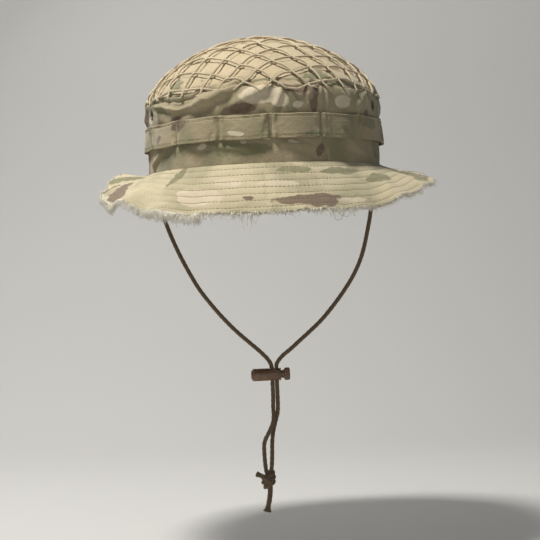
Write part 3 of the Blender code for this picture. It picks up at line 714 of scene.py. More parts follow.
# ---------------------------------------------------------------------------------------------------
# Foliage band: a folded strip of the printed cloth, edge-stitched, and held to the wall by bar tacks
# so that a row of loops stands off it to take twigs and leaves.
BAND_LOOPS = 15
FIRST_TACK = 3.5
STITCH = 0.0031                          # pitch of the lockstitch
STITCH_FILLED = 0.74                     # how much of the pitch the thread shows over
STITCH_POINTS = 5
STITCH_SUNK = 0.00008
TACK_INSET, TACK_PITCH = 0.0008, 0.00052
SEWING_THREAD = 0.00024                  # radius
BAND_ROWS = 27
band_bearing, band_up = np.meshgrid(
    FIRST_TACK + np.linspace(0, 360, BAND_LOOPS * 60, endpoint=False),
    np.linspace(BAND_LOW, BAND_HIGH, BAND_ROWS), indexing="ij")


def loop_share(bearing):
    """How far along its own loop a bearing is, from 0 at one bar tack to 1 at the next."""
    return (bearing - FIRST_TACK) * BAND_LOOPS / 360 % 1


def band_lift(bearing, up):
    """How far the band's face stands off the wall: drawn in at each bar tack, and slack between them."""
    bearing, up = np.broadcast_arrays(np.asarray(bearing, float), up)
    at = crown_form(bearing, up, 0.0)
    phase = loop_share(bearing)
    loop = np.sin(np.pi * phase) ** 0.75
    near = np.minimum(phase, 1 - phase) * 360 / BAND_LOOPS * MM_PER_DEGREE / 1000
    middle = (up - BAND_LOW) / (BAND_HIGH - BAND_LOW) * 2 - 1
    rays = noise(np.stack([near, middle * 0.004, np.floor((bearing - FIRST_TACK) / 12)], -1), 0.0035, 31)
    creases = 0.0010 * rays * bump_at(near, 0.004, 0.0045) * np.abs(middle) ** 0.5
    drape = 0.0007 * noise(at * [1, 1, 0.5], 0.012, 32) * loop
    hems = -0.0004 * bump_at(np.abs(middle), 0.80, 0.07)
    beside = 0.0013 * bump_at(near, 0.0030, 0.0016) * eased((np.abs(middle) - 0.2) / 0.8)
    return (np.maximum(wall_relief(bearing, up), 0) + 0.0011 + 0.0022 * loop * (1 - 0.3 * middle) + creases
            + drape + hems + beside - 0.0008 * bump_at(near, 0, 0.0012))


band_face = band_lift(band_bearing, band_up)
edge_fold = 0.0004 * np.clip(np.abs(np.linspace(-1, 1, BAND_ROWS)) * 12 - 11, 0, 1)
sag = (0.0007 * np.sin(np.pi * loop_share(band_bearing))
       + 0.0004 * noise(crown_form(band_bearing, BAND_LOW, 0.0), 0.014, 33))
band_outer = crown_form(band_bearing, band_up - sag, band_face - edge_fold)
band_inner = crown_form(band_bearing, band_up - sag, band_face - 0.0009 + edge_fold)
band_cloth = np.stack([band_bearing * MM_PER_DEGREE / 1000 + 0.4, band_up, 0 * band_up], -1)
band_fields = blotches(
    crown_form(band_bearing, band_up, 0.004), band_bearing, band_up * 1000, 40,
    green=[(-72, 21, 12, 3.4, 0.3), (58, 31, 14, 4.6, 0.5), (24, 20, 10, 2.6, 0.3)],
    brown=[(-42, 31.5, 10, 4.2, 0.7), (-58, 24, 4, 3.6, 0.5), (41, 26, 3.2, 3.0, 0.2), (84, 27, 6, 8, 0)],
    pale=[(-13, 22.5, 7, 1.8, 0.4)])
band = ring_cloth("foliage_band_cloth", band_outer, band_inner, cloth_print, every=4, cloth=band_cloth,
                  **band_fields)
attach(band, "hat")
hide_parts("foliage_band")


def run_along(line):
    """How far along a line each of its points lies."""
    return np.concatenate([[0], np.cumsum(np.linalg.norm(np.diff(line, axis=0), axis=1))])


def points_at(at, run, line):
    """Points at these distances along a line."""
    return np.stack([np.interp(at, run, line[:, k]) for k in range(3)], -1)


def stitches(line, square, rise=0.00026):
    """Paths of even stitches along a closed line on the cloth, each dipping into it at both ends."""
    line, square = np.vstack([line, line[:1]]), np.vstack([square, square[:1]])
    run = run_along(line)
    count = int(run[-1] / STITCH)
    at = (np.arange(count)[:, None] + np.linspace(0, STITCH_FILLED, STITCH_POINTS)) * run[-1] / count
    up = points_at(at, run, square)
    arch = rise * np.sin(np.pi * np.linspace(0, 1, STITCH_POINTS)) - STITCH_SUNK
    return points_at(at, run, line) + up * arch[:, None], up


def stitched(form, bearing, where, lift, out=0.001):
    """Stitches along a line on a form: bearings, heights or reaches, a lift, and which way is outward."""
    on = form(bearing, where, lift)
    return stitches(on, (form(bearing, where, lift + out) - on) / 0.001)


olive_thread = thread_finish("sewing_thread", (0.27, 0.22, 0.12, 1), (0.52, 0.44, 0.27, 1), 1800.0, 2.0,
                             depth=0.0001)
sewn, lifts = [], []
for share in (0.10, 0.90):
    up = BAND_LOW + (BAND_HIGH - BAND_LOW) * share
    bearing = band_bearing[:, 0]
    paths, above = stitched(crown_form, bearing, up - sag[:, 0], band_lift(bearing, up))
    sewn.append(paths)
    lifts.append(above)
bearing = np.linspace(0, 360, 900, endpoint=False)
up = topstitch_up(crown_form(bearing, TOPSTITCH_UP, 0.0))
paths, above = stitched(crown_form, bearing, risen(bearing, up), wall_relief(bearing, up))
band_stitches = tubes("band_and_seam_stitches", np.concatenate(sewn + [paths]), SEWING_THREAD,
                      np.concatenate(lifts + [above]), olive_thread, sides=5)
bars, bar_up = [], []
for tack in range(BAND_LOOPS):
    bearing = FIRST_TACK + 360 / BAND_LOOPS * tack
    for k, up in enumerate(np.arange(BAND_LOW + TACK_INSET, BAND_HIGH - TACK_INSET, TACK_PITCH)):
        half = (0.85 + 0.1 * math.sin(k * 1.7)) / MM_PER_DEGREE
        across = np.array([-half, -half * 0.5, 0, half * 0.5, half]) * (-1 if k % 2 else 1)
        rise = np.array([-0.0004, 0.0002, 0.00035, 0.0002, -0.0004])
        slant = np.linspace(0, 0.00026, 5)
        face = band_lift(bearing + across, up)
        on = crown_form(bearing + across, up + slant, face + rise)
        bars.append(on)
        bar_up.append(crown_form(bearing + across, up + slant, face + rise + 0.001) - on)
tacks = tubes("band_bar_tacks", bars, SEWING_THREAD, bar_up, olive_thread, sides=5)
for threads in (band_stitches, tacks):
    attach(threads, "hat")

# ---------------------------------------------------------------------------------------------------
# Brim: two plies of the printed cloth over a stiffener, quilted by seven rounds of lockstitch. It has
# been cut down with scissors, which leaves a raw edge, and it has taken a wavy set.
BRIM_WIDTH = 0.045
BRIM_FOOT = -0.001
BRIM_ROUNDS = 7
BRIM_STEPS = 1100
CLOTH_PER_RADIAN = 0.118                 # length of the brim's cloth along its middle
TOP_FACE, BOTTOM_FACE = 0.0011, -0.0006  # lifts of the two plies' outer faces in a stitched line
TOP_BACK, BOTTOM_BACK = 0.0007, -0.0002
QUILT = 0.0005                           # how far the cloth puffs up between the rounds
BRIM_SET = np.array([     # bearing, fall of the brim below level at the crown, further fall at the edge
    (0, 50, 2), (22, 50, 2), (40, 47, 2), (53, 34, -2), (66, 25, -6), (90, 18, -10), (112, 8, -16),
    (130, 0, -14), (152, 9, -4), (180, 20, 4), (206, 12, 4), (228, -11, 4), (244, -9, 4), (262, 12, 2),
    (276, 24, 0), (292, 37, -6), (304, 30, -4), (316, 42, 2), (334, 49, 2), (360, 50, 2)], float)
TOP_EDGE, BOTTOM_EDGE, STIFFENER_EDGE = 60, 64, 68       # seeds of the three raw edges
FALL_STEPS = 6                           # the brim's curve is summed up in this many parts
ROUNDS_AT = 0.0042 + 0.0062 * np.arange(BRIM_ROUNDS)
ROUNDS_PER_METRE = 161
PUCKERS_PER_RADIAN = 235
CUT_SHORT, CUT_SHORT_AT = 0.0055, ((112, 30), (276, 28))


def brim_form(bearing, reach, lift):
    """Points of the brim, by bearing and distance from the crown seam, at a lift square to its middle."""
    bearing, reach, lift = np.broadcast_arrays(np.asarray(bearing, float), reach, lift)
    b = bearing % 360
    k = np.clip(np.searchsorted(BRIM_SET[:, 0], b, side="right") - 1, 0, len(BRIM_SET) - 2)
    share = eased((b - BRIM_SET[k, 0]) / (BRIM_SET[k + 1, 0] - BRIM_SET[k, 0]))
    fall = BRIM_SET[k, 1] + (BRIM_SET[k + 1, 1] - BRIM_SET[k, 1]) * share
    more = BRIM_SET[k, 2] + (BRIM_SET[k + 1, 2] - BRIM_SET[k, 2]) * share
    a = np.radians(b)
    level = np.stack([np.sin(a) / HALF_WIDTH, -np.cos(a) / HALF_LENGTH], -1)
    level /= np.linalg.norm(level, axis=-1, keepdims=True)
    out, down = 0.0, 0.0
    for part in (np.arange(FALL_STEPS) + 0.5) / FALL_STEPS:
        slope = np.radians(fall + more * (reach * part / BRIM_WIDTH) ** 2)
        out = out + np.cos(slope) / FALL_STEPS
        down = down + np.sin(slope) / FALL_STEPS
    slope = np.radians(fall + more * (reach / BRIM_WIDTH) ** 2)
    out = out * reach + np.sin(slope) * lift
    z = BRIM_FOOT - down * reach + np.cos(slope) * lift
    x, y = HALF_WIDTH * np.sin(a), -HALF_LENGTH * np.cos(a)
    return np.stack([x + level[..., 0] * out, y + level[..., 1] * out, z], -1)


def brim_sway(bearing, reach):
    """Slack and puckers of the whole brim: long waves towards its edge, short ones between the rounds."""
    at = brim_form(bearing, reach, 0.0)
    share = reach / BRIM_WIDTH
    return (0.0016 * share * noise(at, 0.034, 51) + 0.0007 * share * noise(at, 0.013, 52)
            + 0.0010 * eased((share - 0.80) / 0.2) * noise(at, 0.008, 53))


def quilted(bearing, reach):
    """1 in the puffed channel between two rounds of stitching, 0 in the stitched line, with cross puckers."""
    nearest = np.min(np.abs(reach[..., None] - ROUNDS_AT), axis=-1)
    each_round = noise(np.stack([0 * reach, np.round(reach * ROUNDS_PER_METRE), 0 * reach], -1), 0.7, 58)
    held = 0.65 + 0.35 * np.cos(np.radians(bearing) * PUCKERS_PER_RADIAN + 40 * each_round)
    puff = 1 - held * np.exp(-(nearest / 0.0010) ** 2)
    across = noise(np.stack([np.radians(bearing) * 0.115, reach * 0.25, 0 * reach], -1), 0.0030, 54)
    return puff * (1 + 0.35 * across) + 0.18 * across


def around_ring(bearing):
    """Points on a circle at these bearings, for values that have to meet after a full turn."""
    a = np.radians(bearing)
    return np.stack([np.cos(a), np.sin(a), 0 * a], -1)


def ragged_edge(bearing, seed):
    """Where a ply's raw edge ends: the scissors' uneven line, and the yarns that have dropped off."""
    at = around_ring(bearing) * 0.13
    short = sum(CUT_SHORT * bump_at(bearing % 360, middle, half) for middle, half in CUT_SHORT_AT)
    return (BRIM_WIDTH - short + 0.0010 * noise(at, 0.030, 55) + 0.0005 * noise(at, 0.004, seed)
            + 0.0004 * noise(at, 0.0012, seed + 1))


def brim_cloth_at(bearing, reach, shift=0.0):
    """Places on the brim's flat cloth, which the weave and the print are laid out on."""
    return np.stack([np.radians(bearing) * CLOTH_PER_RADIAN, reach + shift, 0 * reach], -1)


# Green blotches on the brim's top. The two big ones at bearings 88 and 94, on its right, are painted shade
# that darkens the part turning away from the key light; the rest are print.
brim_green_print_and_painted_shade = [(-44, 9, 5.5, 13, -0.8), (60, 22, 13, 5, 0.4), (38, 10, 19, 3.6, 0.3), (14, 7, 14, 2.6, 0.2),
             (88, 15, 24, 12, 0.3), (94, 33, 20, 7, -0.3)]
cut_brown = [(19, 36, 26, 4.6, -0.3), (27, 39.5, 12, 4.4, -0.2), (-8, 33, 4.2, 2.4, 0),
             (-101, 27, 20, 12, 0.3), (104, 34, 10, 5, 0.2)]
cut_pale = [(-30, 30, 20, 8, 0.3), (-16, 18, 12, 4, 0.2), (6, 20, 16, 3.4, 0.1), (42, 38, 12, 3, 0)]
brim_bearing, brim_share = np.meshgrid(
    np.linspace(0, 360, BRIM_STEPS, endpoint=False), np.linspace(0, 1, 74), indexing="ij")
quilt = QUILT * quilted(brim_bearing, brim_share * BRIM_WIDTH)
sway = brim_sway(brim_bearing, brim_share * BRIM_WIDTH)
thin = 1 - 0.35 * eased((brim_share - 0.95) / 0.05)
spread = turn_from(brim_bearing, 0) * (1 + 0.35 * brim_share)
# Set places reach round to bearing 112, which keeps the painted shade on the brim's right.
shown = {"green": brim_green_print_and_painted_shade, "brown": cut_brown, "pale": cut_pale, "known": 112.0}
unseen = {"known": -20.0}
for ply, edge_seed, side, face, back, print_seed, places in (
        ("brim_top", TOP_EDGE, 1, TOP_FACE, TOP_BACK, 70, shown),
        ("brim_bottom", BOTTOM_EDGE, -1, BOTTOM_FACE, BOTTOM_BACK, 90, unseen)):
    reach = brim_share * ragged_edge(brim_bearing, edge_seed)
    outer = brim_form(brim_bearing, reach, (face + side * quilt) * thin + sway)
    inner = brim_form(brim_bearing, reach, back + sway)
    fields = blotches(brim_form(brim_bearing, reach, 0.0), spread, reach * 1000, print_seed, **places)
    fields["cloth"] = brim_cloth_at(brim_bearing, reach, 0.3 * side)
    outer, inner, *values = [layer[::side] for layer in (outer, inner, *fields.values())]
    brim_ply = ring_cloth(ply + "_cloth", outer, inner, brim_print, every=12, **dict(zip(fields, values)))
    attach(brim_ply, "hat")
    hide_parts(ply)

stiffener_finish = cloth_finish("interlining", (0.62, 0.56, 0.44, 1), printed=False, threads=900.0, bump=0.5)
STIFFENER_STEPS = 1400
STIFFENER_FROM = 0.86                    # only this outer share of it can be seen between the plies
STIFFENER_PAST = 0.0004
bearing, share = np.meshgrid(np.linspace(0, 360, STIFFENER_STEPS, endpoint=False),
                             np.linspace(STIFFENER_FROM, 1, 8), indexing="ij")
reach = share * (ragged_edge(bearing, STIFFENER_EDGE) + STIFFENER_PAST)
sway = brim_sway(bearing, reach)
stiffener = ring_cloth("brim_interlining_edge", brim_form(bearing, reach, sway + 0.0006),
                       brim_form(bearing, reach, sway - 0.0001), stiffener_finish,
                       cloth=brim_cloth_at(bearing, reach))
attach(stiffener, "hat")
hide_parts("brim_interlining")

bearing = np.linspace(0, 360, BRIM_STEPS, endpoint=False)
for name, side, face in (("brim_top_stitches", 1, TOP_FACE), ("brim_bottom_stitches", -1, BOTTOM_FACE)):
    rounds, round_up = [], []
    for row in ROUNDS_AT:
        wander = row + 0.00025 * noise(around_ring(bearing) * 0.1, 0.02, 57)
        level = face + side * QUILT * quilted(bearing, wander) + brim_sway(bearing, wander)
        paths, above = stitched(brim_form, bearing, wander, level, side * 0.001)
        rounds.append(paths)
        round_up.append(above)
    row_threads = tubes(name, np.concatenate(rounds), SEWING_THREAD, np.concatenate(round_up), olive_thread,
                        sides=5)
    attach(row_threads, "hat")

# ---------------------------------------------------------------------------------------------------
# Frayed edge: cream cotton yarns that the cut has freed from both plies. Most are short and stand out
# all round, some gather in longer tufts, and a few are still held at both ends and hang in loops.
# The yarns are cream cotton, and both shades are raised above that colour as painted light, to make up for
# the shade that the hanging strands get under the light from above.
yarn_finish_with_painted_light = thread_finish("frayed_yarn_painted_light", (0.78, 0.72, 0.57, 1), (0.95, 0.92, 0.83, 1), 900.0, 2.0,
                            depth=0.0001)
YARN, LOOP_YARN = 0.00021, 0.00026       # radii
chance = np.random.default_rng(7)


def yarns(count, bearing, length, spread, droop, steps=5):
    """Loose yarns that leave the raw edge: fanned to both sides, curled, and drawn down by their weight."""
    reach = ragged_edge(bearing, TOP_EDGE) - 0.0012
    level = chance.uniform(-0.0007, 0.0012, count) + brim_sway(bearing, reach)
    root = brim_form(bearing, reach, level)
    out = brim_form(bearing, reach + 0.001, level) - root
    out /= np.linalg.norm(out, axis=1, keepdims=True)
    beside = brim_form(bearing + 0.2, reach, level) - root
    beside /= np.linalg.norm(beside, axis=1, keepdims=True)
    above = np.cross(beside, out)
    heading = out + beside * chance.normal(0, spread, (count, 1)) + above * chance.normal(0, 0.28, (count, 1))
    heading /= np.linalg.norm(heading, axis=1, keepdims=True)
    t = np.linspace(0, 1, steps)[None, :, None]
    curl = (np.sin(t * chance.uniform(2, 6, (count, 1, 1)) + chance.uniform(0, 6, (count, 1, 1)))
            - np.sin(chance.uniform(0, 6, (count, 1, 1)))) * t
    path = root[:, None] + heading[:, None] * length[:, None, None] * t
    for way, strength in ((beside, 0.16), (above, 0.12)):
        path = path + (way * chance.normal(0, strength, (count, 1)))[:, None] * curl * length[:, None, None]
    path[..., 2] -= droop * length[:, None] * t[..., 0] ** 2
    return path


EVEN_FRINGE = 5600                       # short yarns all round; the tufts after them are longer
EVEN_LENGTH = 0.0012
TUFTS = (             # middle bearing, spread in degrees, how many yarns, their length
    (-24, 1.3, 90, 0.0062), (-36, 8, 620, 0.0054), (-72, 13, 900, 0.0044), (-50, 6, 160, 0.0042),
    (24, 5, 40, 0.0050), (-8, 3, 26, 0.0055), (52, 8, 90, 0.0034), (150, 8, 60, 0.005), (205, 9, 60, 0.005))
fringe = [yarns(EVEN_FRINGE, chance.uniform(0, 360, EVEN_FRINGE),
                chance.gamma(2.2, 0.00050, EVEN_FRINGE) + EVEN_LENGTH, 0.6, 0.3)]
for bearing, half, count, length in TUFTS:
    where = chance.normal(bearing, half, count)
    fringe.append(yarns(count, where, length * chance.uniform(0.5, 1.25, count), 0.5, 0.45))
fringe = np.concatenate(fringe)
thin_out = np.array([1.0, 1.0, 0.95, 0.85, 0.45])
fray = tubes("frayed_edge_yarns", fringe, YARN * thin_out, (0.1, 0.2, 1.0), yarn_finish_with_painted_light, sides=3)
HANGING = (           # bearings of both ends and the drop of each yarn that hangs in a loop
    (-9, -4.5, 0.015), (-8, -6, 0.010), (-2.5, -5, 0.008), (22, 27.5, 0.009), (23, 31, 0.006),
    (-38, -31, 0.006), (-25, -22.5, 0.007), (60, 66, 0.007), (118, 127, 0.009), (196, 203, 0.011))
hanging = []
for start, end, drop in HANGING:
    t = np.linspace(0, 1, 14)
    bearing = start + (end - start) * t
    reach = ragged_edge(bearing, TOP_EDGE) - 0.001
    loop = brim_form(bearing, reach, 0.0006 + brim_sway(bearing, reach))
    loop[:, 2] -= drop * np.sin(np.pi * t) ** 0.8
    loop += 0.0009 * np.stack([noise(loop, 0.004, k) for k in (81, 82, 83)], -1) * np.sin(np.pi * t)[:, None]
    hanging.append(loop)
loose_loops = tubes("hanging_yarn_loops", hanging, LOOP_YARN, (0.1, 0.2, 1.0), yarn_finish_with_painted_light, sides=4)
for yarn in (fray, loose_loops):
    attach(yarn, "hat")

# ---------------------------------------------------------------------------------------------------
# Inside: a folded sweatband, tapes that bind the seams, a blank label and two tabs for the chin cord.
# All are olive twill but the label, which is pale smooth cloth, and the sweatband shows two rows of
# stitches.
LINED_AT = -CLOTH - 0.0003               # lift of the first layer inside the wall
LINING_STEPS = 14
LINING_THREAD = 0.00022
SEAM_TAPE_WIDTH = 0.012
tape_finish = cloth_finish("olive_tape", (0.150, 0.130, 0.070, 1), printed=False, threads=1100.0, bump=0.4)
label_finish = cloth_finish("label_cloth", (0.60, 0.56, 0.46, 1), printed=False, threads=2200.0, bump=0.2)


def lining(name, node, bearings, heights, near, thick, finish, rows=()):
    """A strip inside the crown that stands for a node, near the wall by a lift, with rows of stitches."""
    far = near - thick
    whole = bearings[1] - bearings[0] >= 360
    steps = int((bearings[1] - bearings[0]) * MM_PER_DEGREE / (1.2 if whole else 0.8)) + 2
    bearing, up = np.meshgrid(np.linspace(*bearings, steps, endpoint=not whole),
                              np.linspace(*heights, LINING_STEPS), indexing="ij")
    at = crown_form(bearing, up, 0.0)
    middle = np.abs((up - heights[0]) / (heights[1] - heights[0]) * 2 - 1)
    wave = -0.00025 * (1 + noise(at, 0.011, 91)) * (1 - middle ** 4)
    soft = 0.00018 * np.clip(middle * 8 - 7, 0, 1)
    outer = crown_form(bearing, up, near - soft)
    inner = crown_form(bearing, up, far + soft + wave)
    cloth = np.stack([bearing * MM_PER_DEGREE / 1000, up, 0 * up], -1)
    strip = ring_cloth(name, outer, inner, finish, wrap=whole, cloth=cloth)
    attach(strip, "hat")
    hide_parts(node)
    if rows:
        line = np.linspace(*bearings, 400, endpoint=not whole)
        paths, above = [], []
        for up in rows:
            on = crown_form(line, up, far - 0.00012)
            row, square = stitches(on, (crown_form(line, up, far - 0.001) - on) / 0.001, rise=0.0003)
            paths.append(row)
            above.append(square)
        thread = tubes(name + "_stitches", np.concatenate(paths), LINING_THREAD, np.concatenate(above),
                       olive_thread, sides=5)
        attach(thread, "hat")


lining("sweatband_cloth", "sweatband", (0, 360), (-0.0028, 0.030), LINED_AT, 0.0012, tape_finish,
       rows=(0.0022, 0.0272))
lining("tip_seam_tape_cloth", "tip_seam_tape", (0, 360), (0.050, 0.0587), LINED_AT - 0.0010, 0.0007,
       tape_finish)
half = math.degrees(SEAM_TAPE_WIDTH / 2 / HALF_LENGTH)
for side, middle in zip(("right", "left"), SIDE_SEAMS):
    lining("side_seam_tape_%s_cloth" % side, "side_seam_tape_" + side, (middle - half, middle + half),
           (0.031, 0.049), LINED_AT, 0.0006, tape_finish)
label_low, label_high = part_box("care_label")
half = math.degrees(label_high.x / HALF_WIDTH)
lining("blank_label", "care_label", (180 - half, 180 + half), (label_low.z, label_high.z),
       LINED_AT - 0.0015, 0.0006, label_finish)
for side in ("left", "right"):
    low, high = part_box("cord_tab_" + side)
    across, up = np.meshgrid(np.linspace(low.y, high.y, 17), np.linspace(low.z, high.z, 33), indexing="ij")
    wave = 0.00012 * np.sin(up * 900) + 0.0001 * np.sin(across * 700)
    skins = [np.stack([0 * up + x + wave * s, across, up], -1) for x, s in ((low.x, 1), (high.x, 1))]
    tab = ring_cloth("cord_tab_%s_tape" % side, skins[1], skins[0], tape_finish, wrap=False,
                     cloth=np.stack([across, up, 0 * up], -1))
    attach(tab, "hat")
    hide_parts("cord_tab_" + side)

# ---------------------------------------------------------------------------------------------------
# Vent eyelets: rolled brass under matt olive paint, worn to bare metal in places. Each is set through
# the wall into a washer, and both keep the shape that they have in the frame.
vent_metal, tree, shader = new_finish("eyelet_metal")
scuffs = grain(tree, place(tree, "TexCoord").outputs["Object"], 900.0, 4.0)
bare = ranged(tree, scuffs, 0.56, 0.66)
tree.links.new(mixed(tree, bare, (0.085, 0.075, 0.040, 1), (0.42, 0.31, 0.14, 1)),
               shader.inputs["Base Color"])
tree.links.new(bare, shader.inputs["Metallic"])
tree.links.new(place(tree, "Bump", Strength=0.2, Distance=0.0001, Height=scuffs).outputs[0],
               shader.inputs["Normal"])
shader.inputs["Roughness"].default_value = 0.5
for node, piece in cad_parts.items():
    if node.startswith("vent_"):
        piece.data.materials.clear()
        piece.data.materials.append(vent_metal)

# ---------------------------------------------------------------------------------------------------
# Chin cord: two ends of one brown braided cord, sewn in by the ears. Both run down through the cord lock
# and are tied in one overhand knot, with a short melted end at its side and a longer one below.
CORD = 0.0032
PLY_PITCH = 0.0044                       # one ply's turn round the cord
PLY_STANDS = 0.055                       # how far the plies stand out, as a share of the radius
PLY_CROSSINGS = 4
END_REACH = 0.0022                       # a melted end swells over this length
ALONG_CORD = 0.00045                     # spacing of the points along a cord
LEFT_ROUTE = (            # x, z and any y from the tab by the ear to the knot, in millimetres
    (-83.9, -7.0), (-83.8, -9.6), (-83.2, -17.0), (-81.9, -28.3), (-76.8, -45.0), (-70.0, -61.8),
    (-63.1, -76.2), (-55.5, -90.0), (-46.5, -102.6), (-36.9, -114.4), (-27.4, -124.6), (-18.0, -133.4),
    (-10.2, -140.6), (-4.6, -146.6), (-1.9, -151.5), (-1.35, -157.0), (-1.35, -166.0), (-1.35, -176.0),
    (-1.7, -185.0), (-1.6, -190.0, -1.2), (-2.4, -197.0, -1.8), (-5.6, -204.0, -1.8), (-9.6, -212.0, -1.0),
    (-10.2, -221.0), (-9.6, -232.2), (-8.6, -237.5))
RIGHT_ROUTE = (
    (83.9, -7.0), (83.9, -9.6), (83.6, -17.5), (82.6, -28.0), (80.4, -40.4), (77.6, -52.6), (74.8, -63.2),
    (71.1, -73.5), (65.4, -84.6), (58.4, -95.0), (49.2, -106.8), (39.3, -117.8), (30.2, -126.0),
    (21.3, -133.5), (14.3, -139.4), (7.6, -144.6), (3.2, -149.6), (2.15, -154.0), (2.15, -165.0),
    (2.15, -176.0), (2.0, -185.0), (1.4, -190.0, 1.2), (-0.6, -197.0, 1.8), (-2.4, -204.0, 1.6),
    (-3.6, -212.0, 0.8), (-4.1, -222.0), (-4.9, -232.2), (-6.4, -237.5))
cord_finish = thread_finish("chin_cord", (0.058, 0.036, 0.018, 1), (0.205, 0.142, 0.078, 1), 230.0, 4.0, 1.0,
                            bump=0.5, depth=0.0004)


def smooth_path(route, spacing):
    """Evenly spaced points on a smooth curve through the route's points, given in metres."""
    line = np.array(route, float)
    line = np.vstack([2 * line[0] - line[1], line, 2 * line[-1] - line[-2]])
    t = np.linspace(0, 1, 12, endpoint=False)[:, None]
    dense = []
    for a, b, c, d in zip(line, line[1:], line[2:], line[3:]):
        dense.append(0.5 * (2 * b + (c - a) * t + (2 * a - 5 * b + 4 * c - d) * t ** 2
                            + (3 * b - a - 3 * c + d) * t ** 3))
    dense = np.vstack(dense + [line[-2:-1]])
    run = run_along(dense)
    return points_at(np.linspace(0, run[-1], max(8, int(run[-1] / spacing))), run, dense)


def in_metres(route):
    """A route's points, given in millimetres as x, z and any y, as x, y, z in metres."""
    return [(x / 1000, sum(y) / 1000, z / 1000) for x, z, *y in route]


def braided(name, path, ends=(1.0, 1.0), across=(0, 1, 0), swell=1.0):
    """A braided cord along a path, whose plies cross both ways; its ends and whole size may be swelled."""
    steps, sides = len(path), 24
    run = run_along(path)
    radius = np.full(steps, CORD / 2 * swell)
    for k, share in enumerate(ends):
        away = run if k == 0 else run[-1] - run
        radius = radius * (1 + (share - 1) * np.exp(-(away / END_REACH) ** 2))
    cord = tubes(name, path[None], radius[None], across, cord_finish, sides=sides)
    points = np.array([v.co for v in cord.data.vertices]).reshape(steps, sides, 3)
    turn = 2 * np.pi * np.arange(sides) / sides
    phase = run[:, None] * 2 * np.pi / PLY_PITCH
    plies = np.maximum(np.sin(phase + PLY_CROSSINGS * turn), np.sin(phase - PLY_CROSSINGS * turn))
    points = path[:, None] + (points - path[:, None]) * (1 + PLY_STANDS * plies)[..., None]
    cord.data.vertices.foreach_set("co", points.astype(np.float32).ravel())
    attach(cord, "chin_cord")
    return cord


strands = {}
for side, route in (("left", LEFT_ROUTE), ("right", RIGHT_ROUTE)):
    path = smooth_path(in_metres(route), ALONG_CORD)
    strands[side] = (braided("chin_cord_%s_braid" % side, path), path)
    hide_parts("chin_cord_" + side)

low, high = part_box("cord_knot")
knot_middle = np.array((low + high) / 2)
KNOT_WIDE, KNOT_DEEP, KNOT_TALL = 0.0041, 0.0033, 0.0046               # half sizes of the cord's path in it
WRAP_STEPS = 90
wraps = np.radians(np.linspace(-70, 890, WRAP_STEPS))
down = np.linspace(1, -1, WRAP_STEPS)
girth = 0.72 + 0.28 * np.sqrt(1 - 0.9 * down ** 2)
wrap_path = np.stack([knot_middle[0] + KNOT_WIDE * girth * np.cos(wraps),
                      knot_middle[1] - KNOT_DEEP * girth * np.sin(wraps),
                      knot_middle[2] + KNOT_TALL * down + 0.0013 * np.cos(wraps + 0.5)], -1)
lead_out = [(-0.0062, -0.0036, -0.2436), (-0.0086, -0.0047, -0.2410), (-0.0112, -0.0036, -0.2390),
            (-0.0138, -0.0014, -0.2380), (-0.0168, 0.0, -0.2368)]
knot_path = smooth_path([tuple(p) for p in wrap_path[::3]] + lead_out, 0.00040)
overhand = braided("overhand_knot_braid", knot_path, ends=(1.0, 1.2), across=(0.1, 0.2, 1), swell=1.12)
heart_path = smooth_path([(-0.0078, 0, -0.2345), (-0.0080, 0, -0.2375), (-0.0078, 0, -0.2412),
                          (-0.0074, 0, -0.2450), (-0.0070, 0, -0.2485)], 0.0004)
heart = braided("knot_heart_braid", heart_path, swell=1.45)
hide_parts("cord_knot", "cord_stub")
tail_path = smooth_path([(-0.0075, 0, -0.2400), (-0.0070, 0, -0.2450)] + in_metres(
    ((-6.8, -249.6), (-7.1, -253.0), (-7.7, -257.0), (-8.8, -262.0), (-9.9, -266.6))), ALONG_CORD)
tail = braided("cord_tail_braid", tail_path, ends=(1.0, 1.65), swell=1.22)
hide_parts("cord_tail")

# ---------------------------------------------------------------------------------------------------
# Cord lock: a barrel and a fluted plunger moulded in brown nylon, with a steel coil spring between them.
# Both are slotted across, and the spring keeps the slots out of line so that they pinch the two cords.
low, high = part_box("cord_lock_barrel")
LOCK_Z = (low.z + high.z) / 2
BARREL_RADIUS = (high.z - low.z) / 2
BARREL_FROM, BARREL_TO = low.x, high.x
STEM_FROM, KNOB_TO = (corner.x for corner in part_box("cord_lock_plunger"))
BORE = 0.0037                            # radius of the barrel's bore
BORE_END = -0.0159
STEM = 0.0034                            # radius of the plunger's stem
NEAR_AXIS = 0.0002
KNOB_FROM = 0.0084
BARREL_ROUND, KNOB_ROUND, RIM_ROUND = 0.0026, 0.0014, 0.0004           # radii of the rounded corners
SLOT_HALF = 0.00195
BARREL_SLOT, PLUNGER_SLOT = (-0.0037, 0.0044), (-0.0033, 0.0069)       # from and to, along the lock
SIDES = 112
FLUTES = 14

nylon, tree, shader = new_finish("lock_nylon")
where = place(tree, "TexCoord").outputs["Object"]
flow = ranged(tree, grain(tree, where, 160.0, 4.0, 0.6), 0.35, 0.65)
pits = grain(tree, where, 2600.0)
tree.links.new(mixed(tree, flow, (0.115, 0.060, 0.032, 1), (0.205, 0.120, 0.070, 1)),
               shader.inputs["Base Color"])
tree.links.new(ranged(tree, pits, 0.0, 1.0, 0.24, 0.40), shader.inputs["Roughness"])
tree.links.new(place(tree, "Bump", Strength=0.15, Distance=0.0001, Height=pits).outputs[0],
               shader.inputs["Normal"])


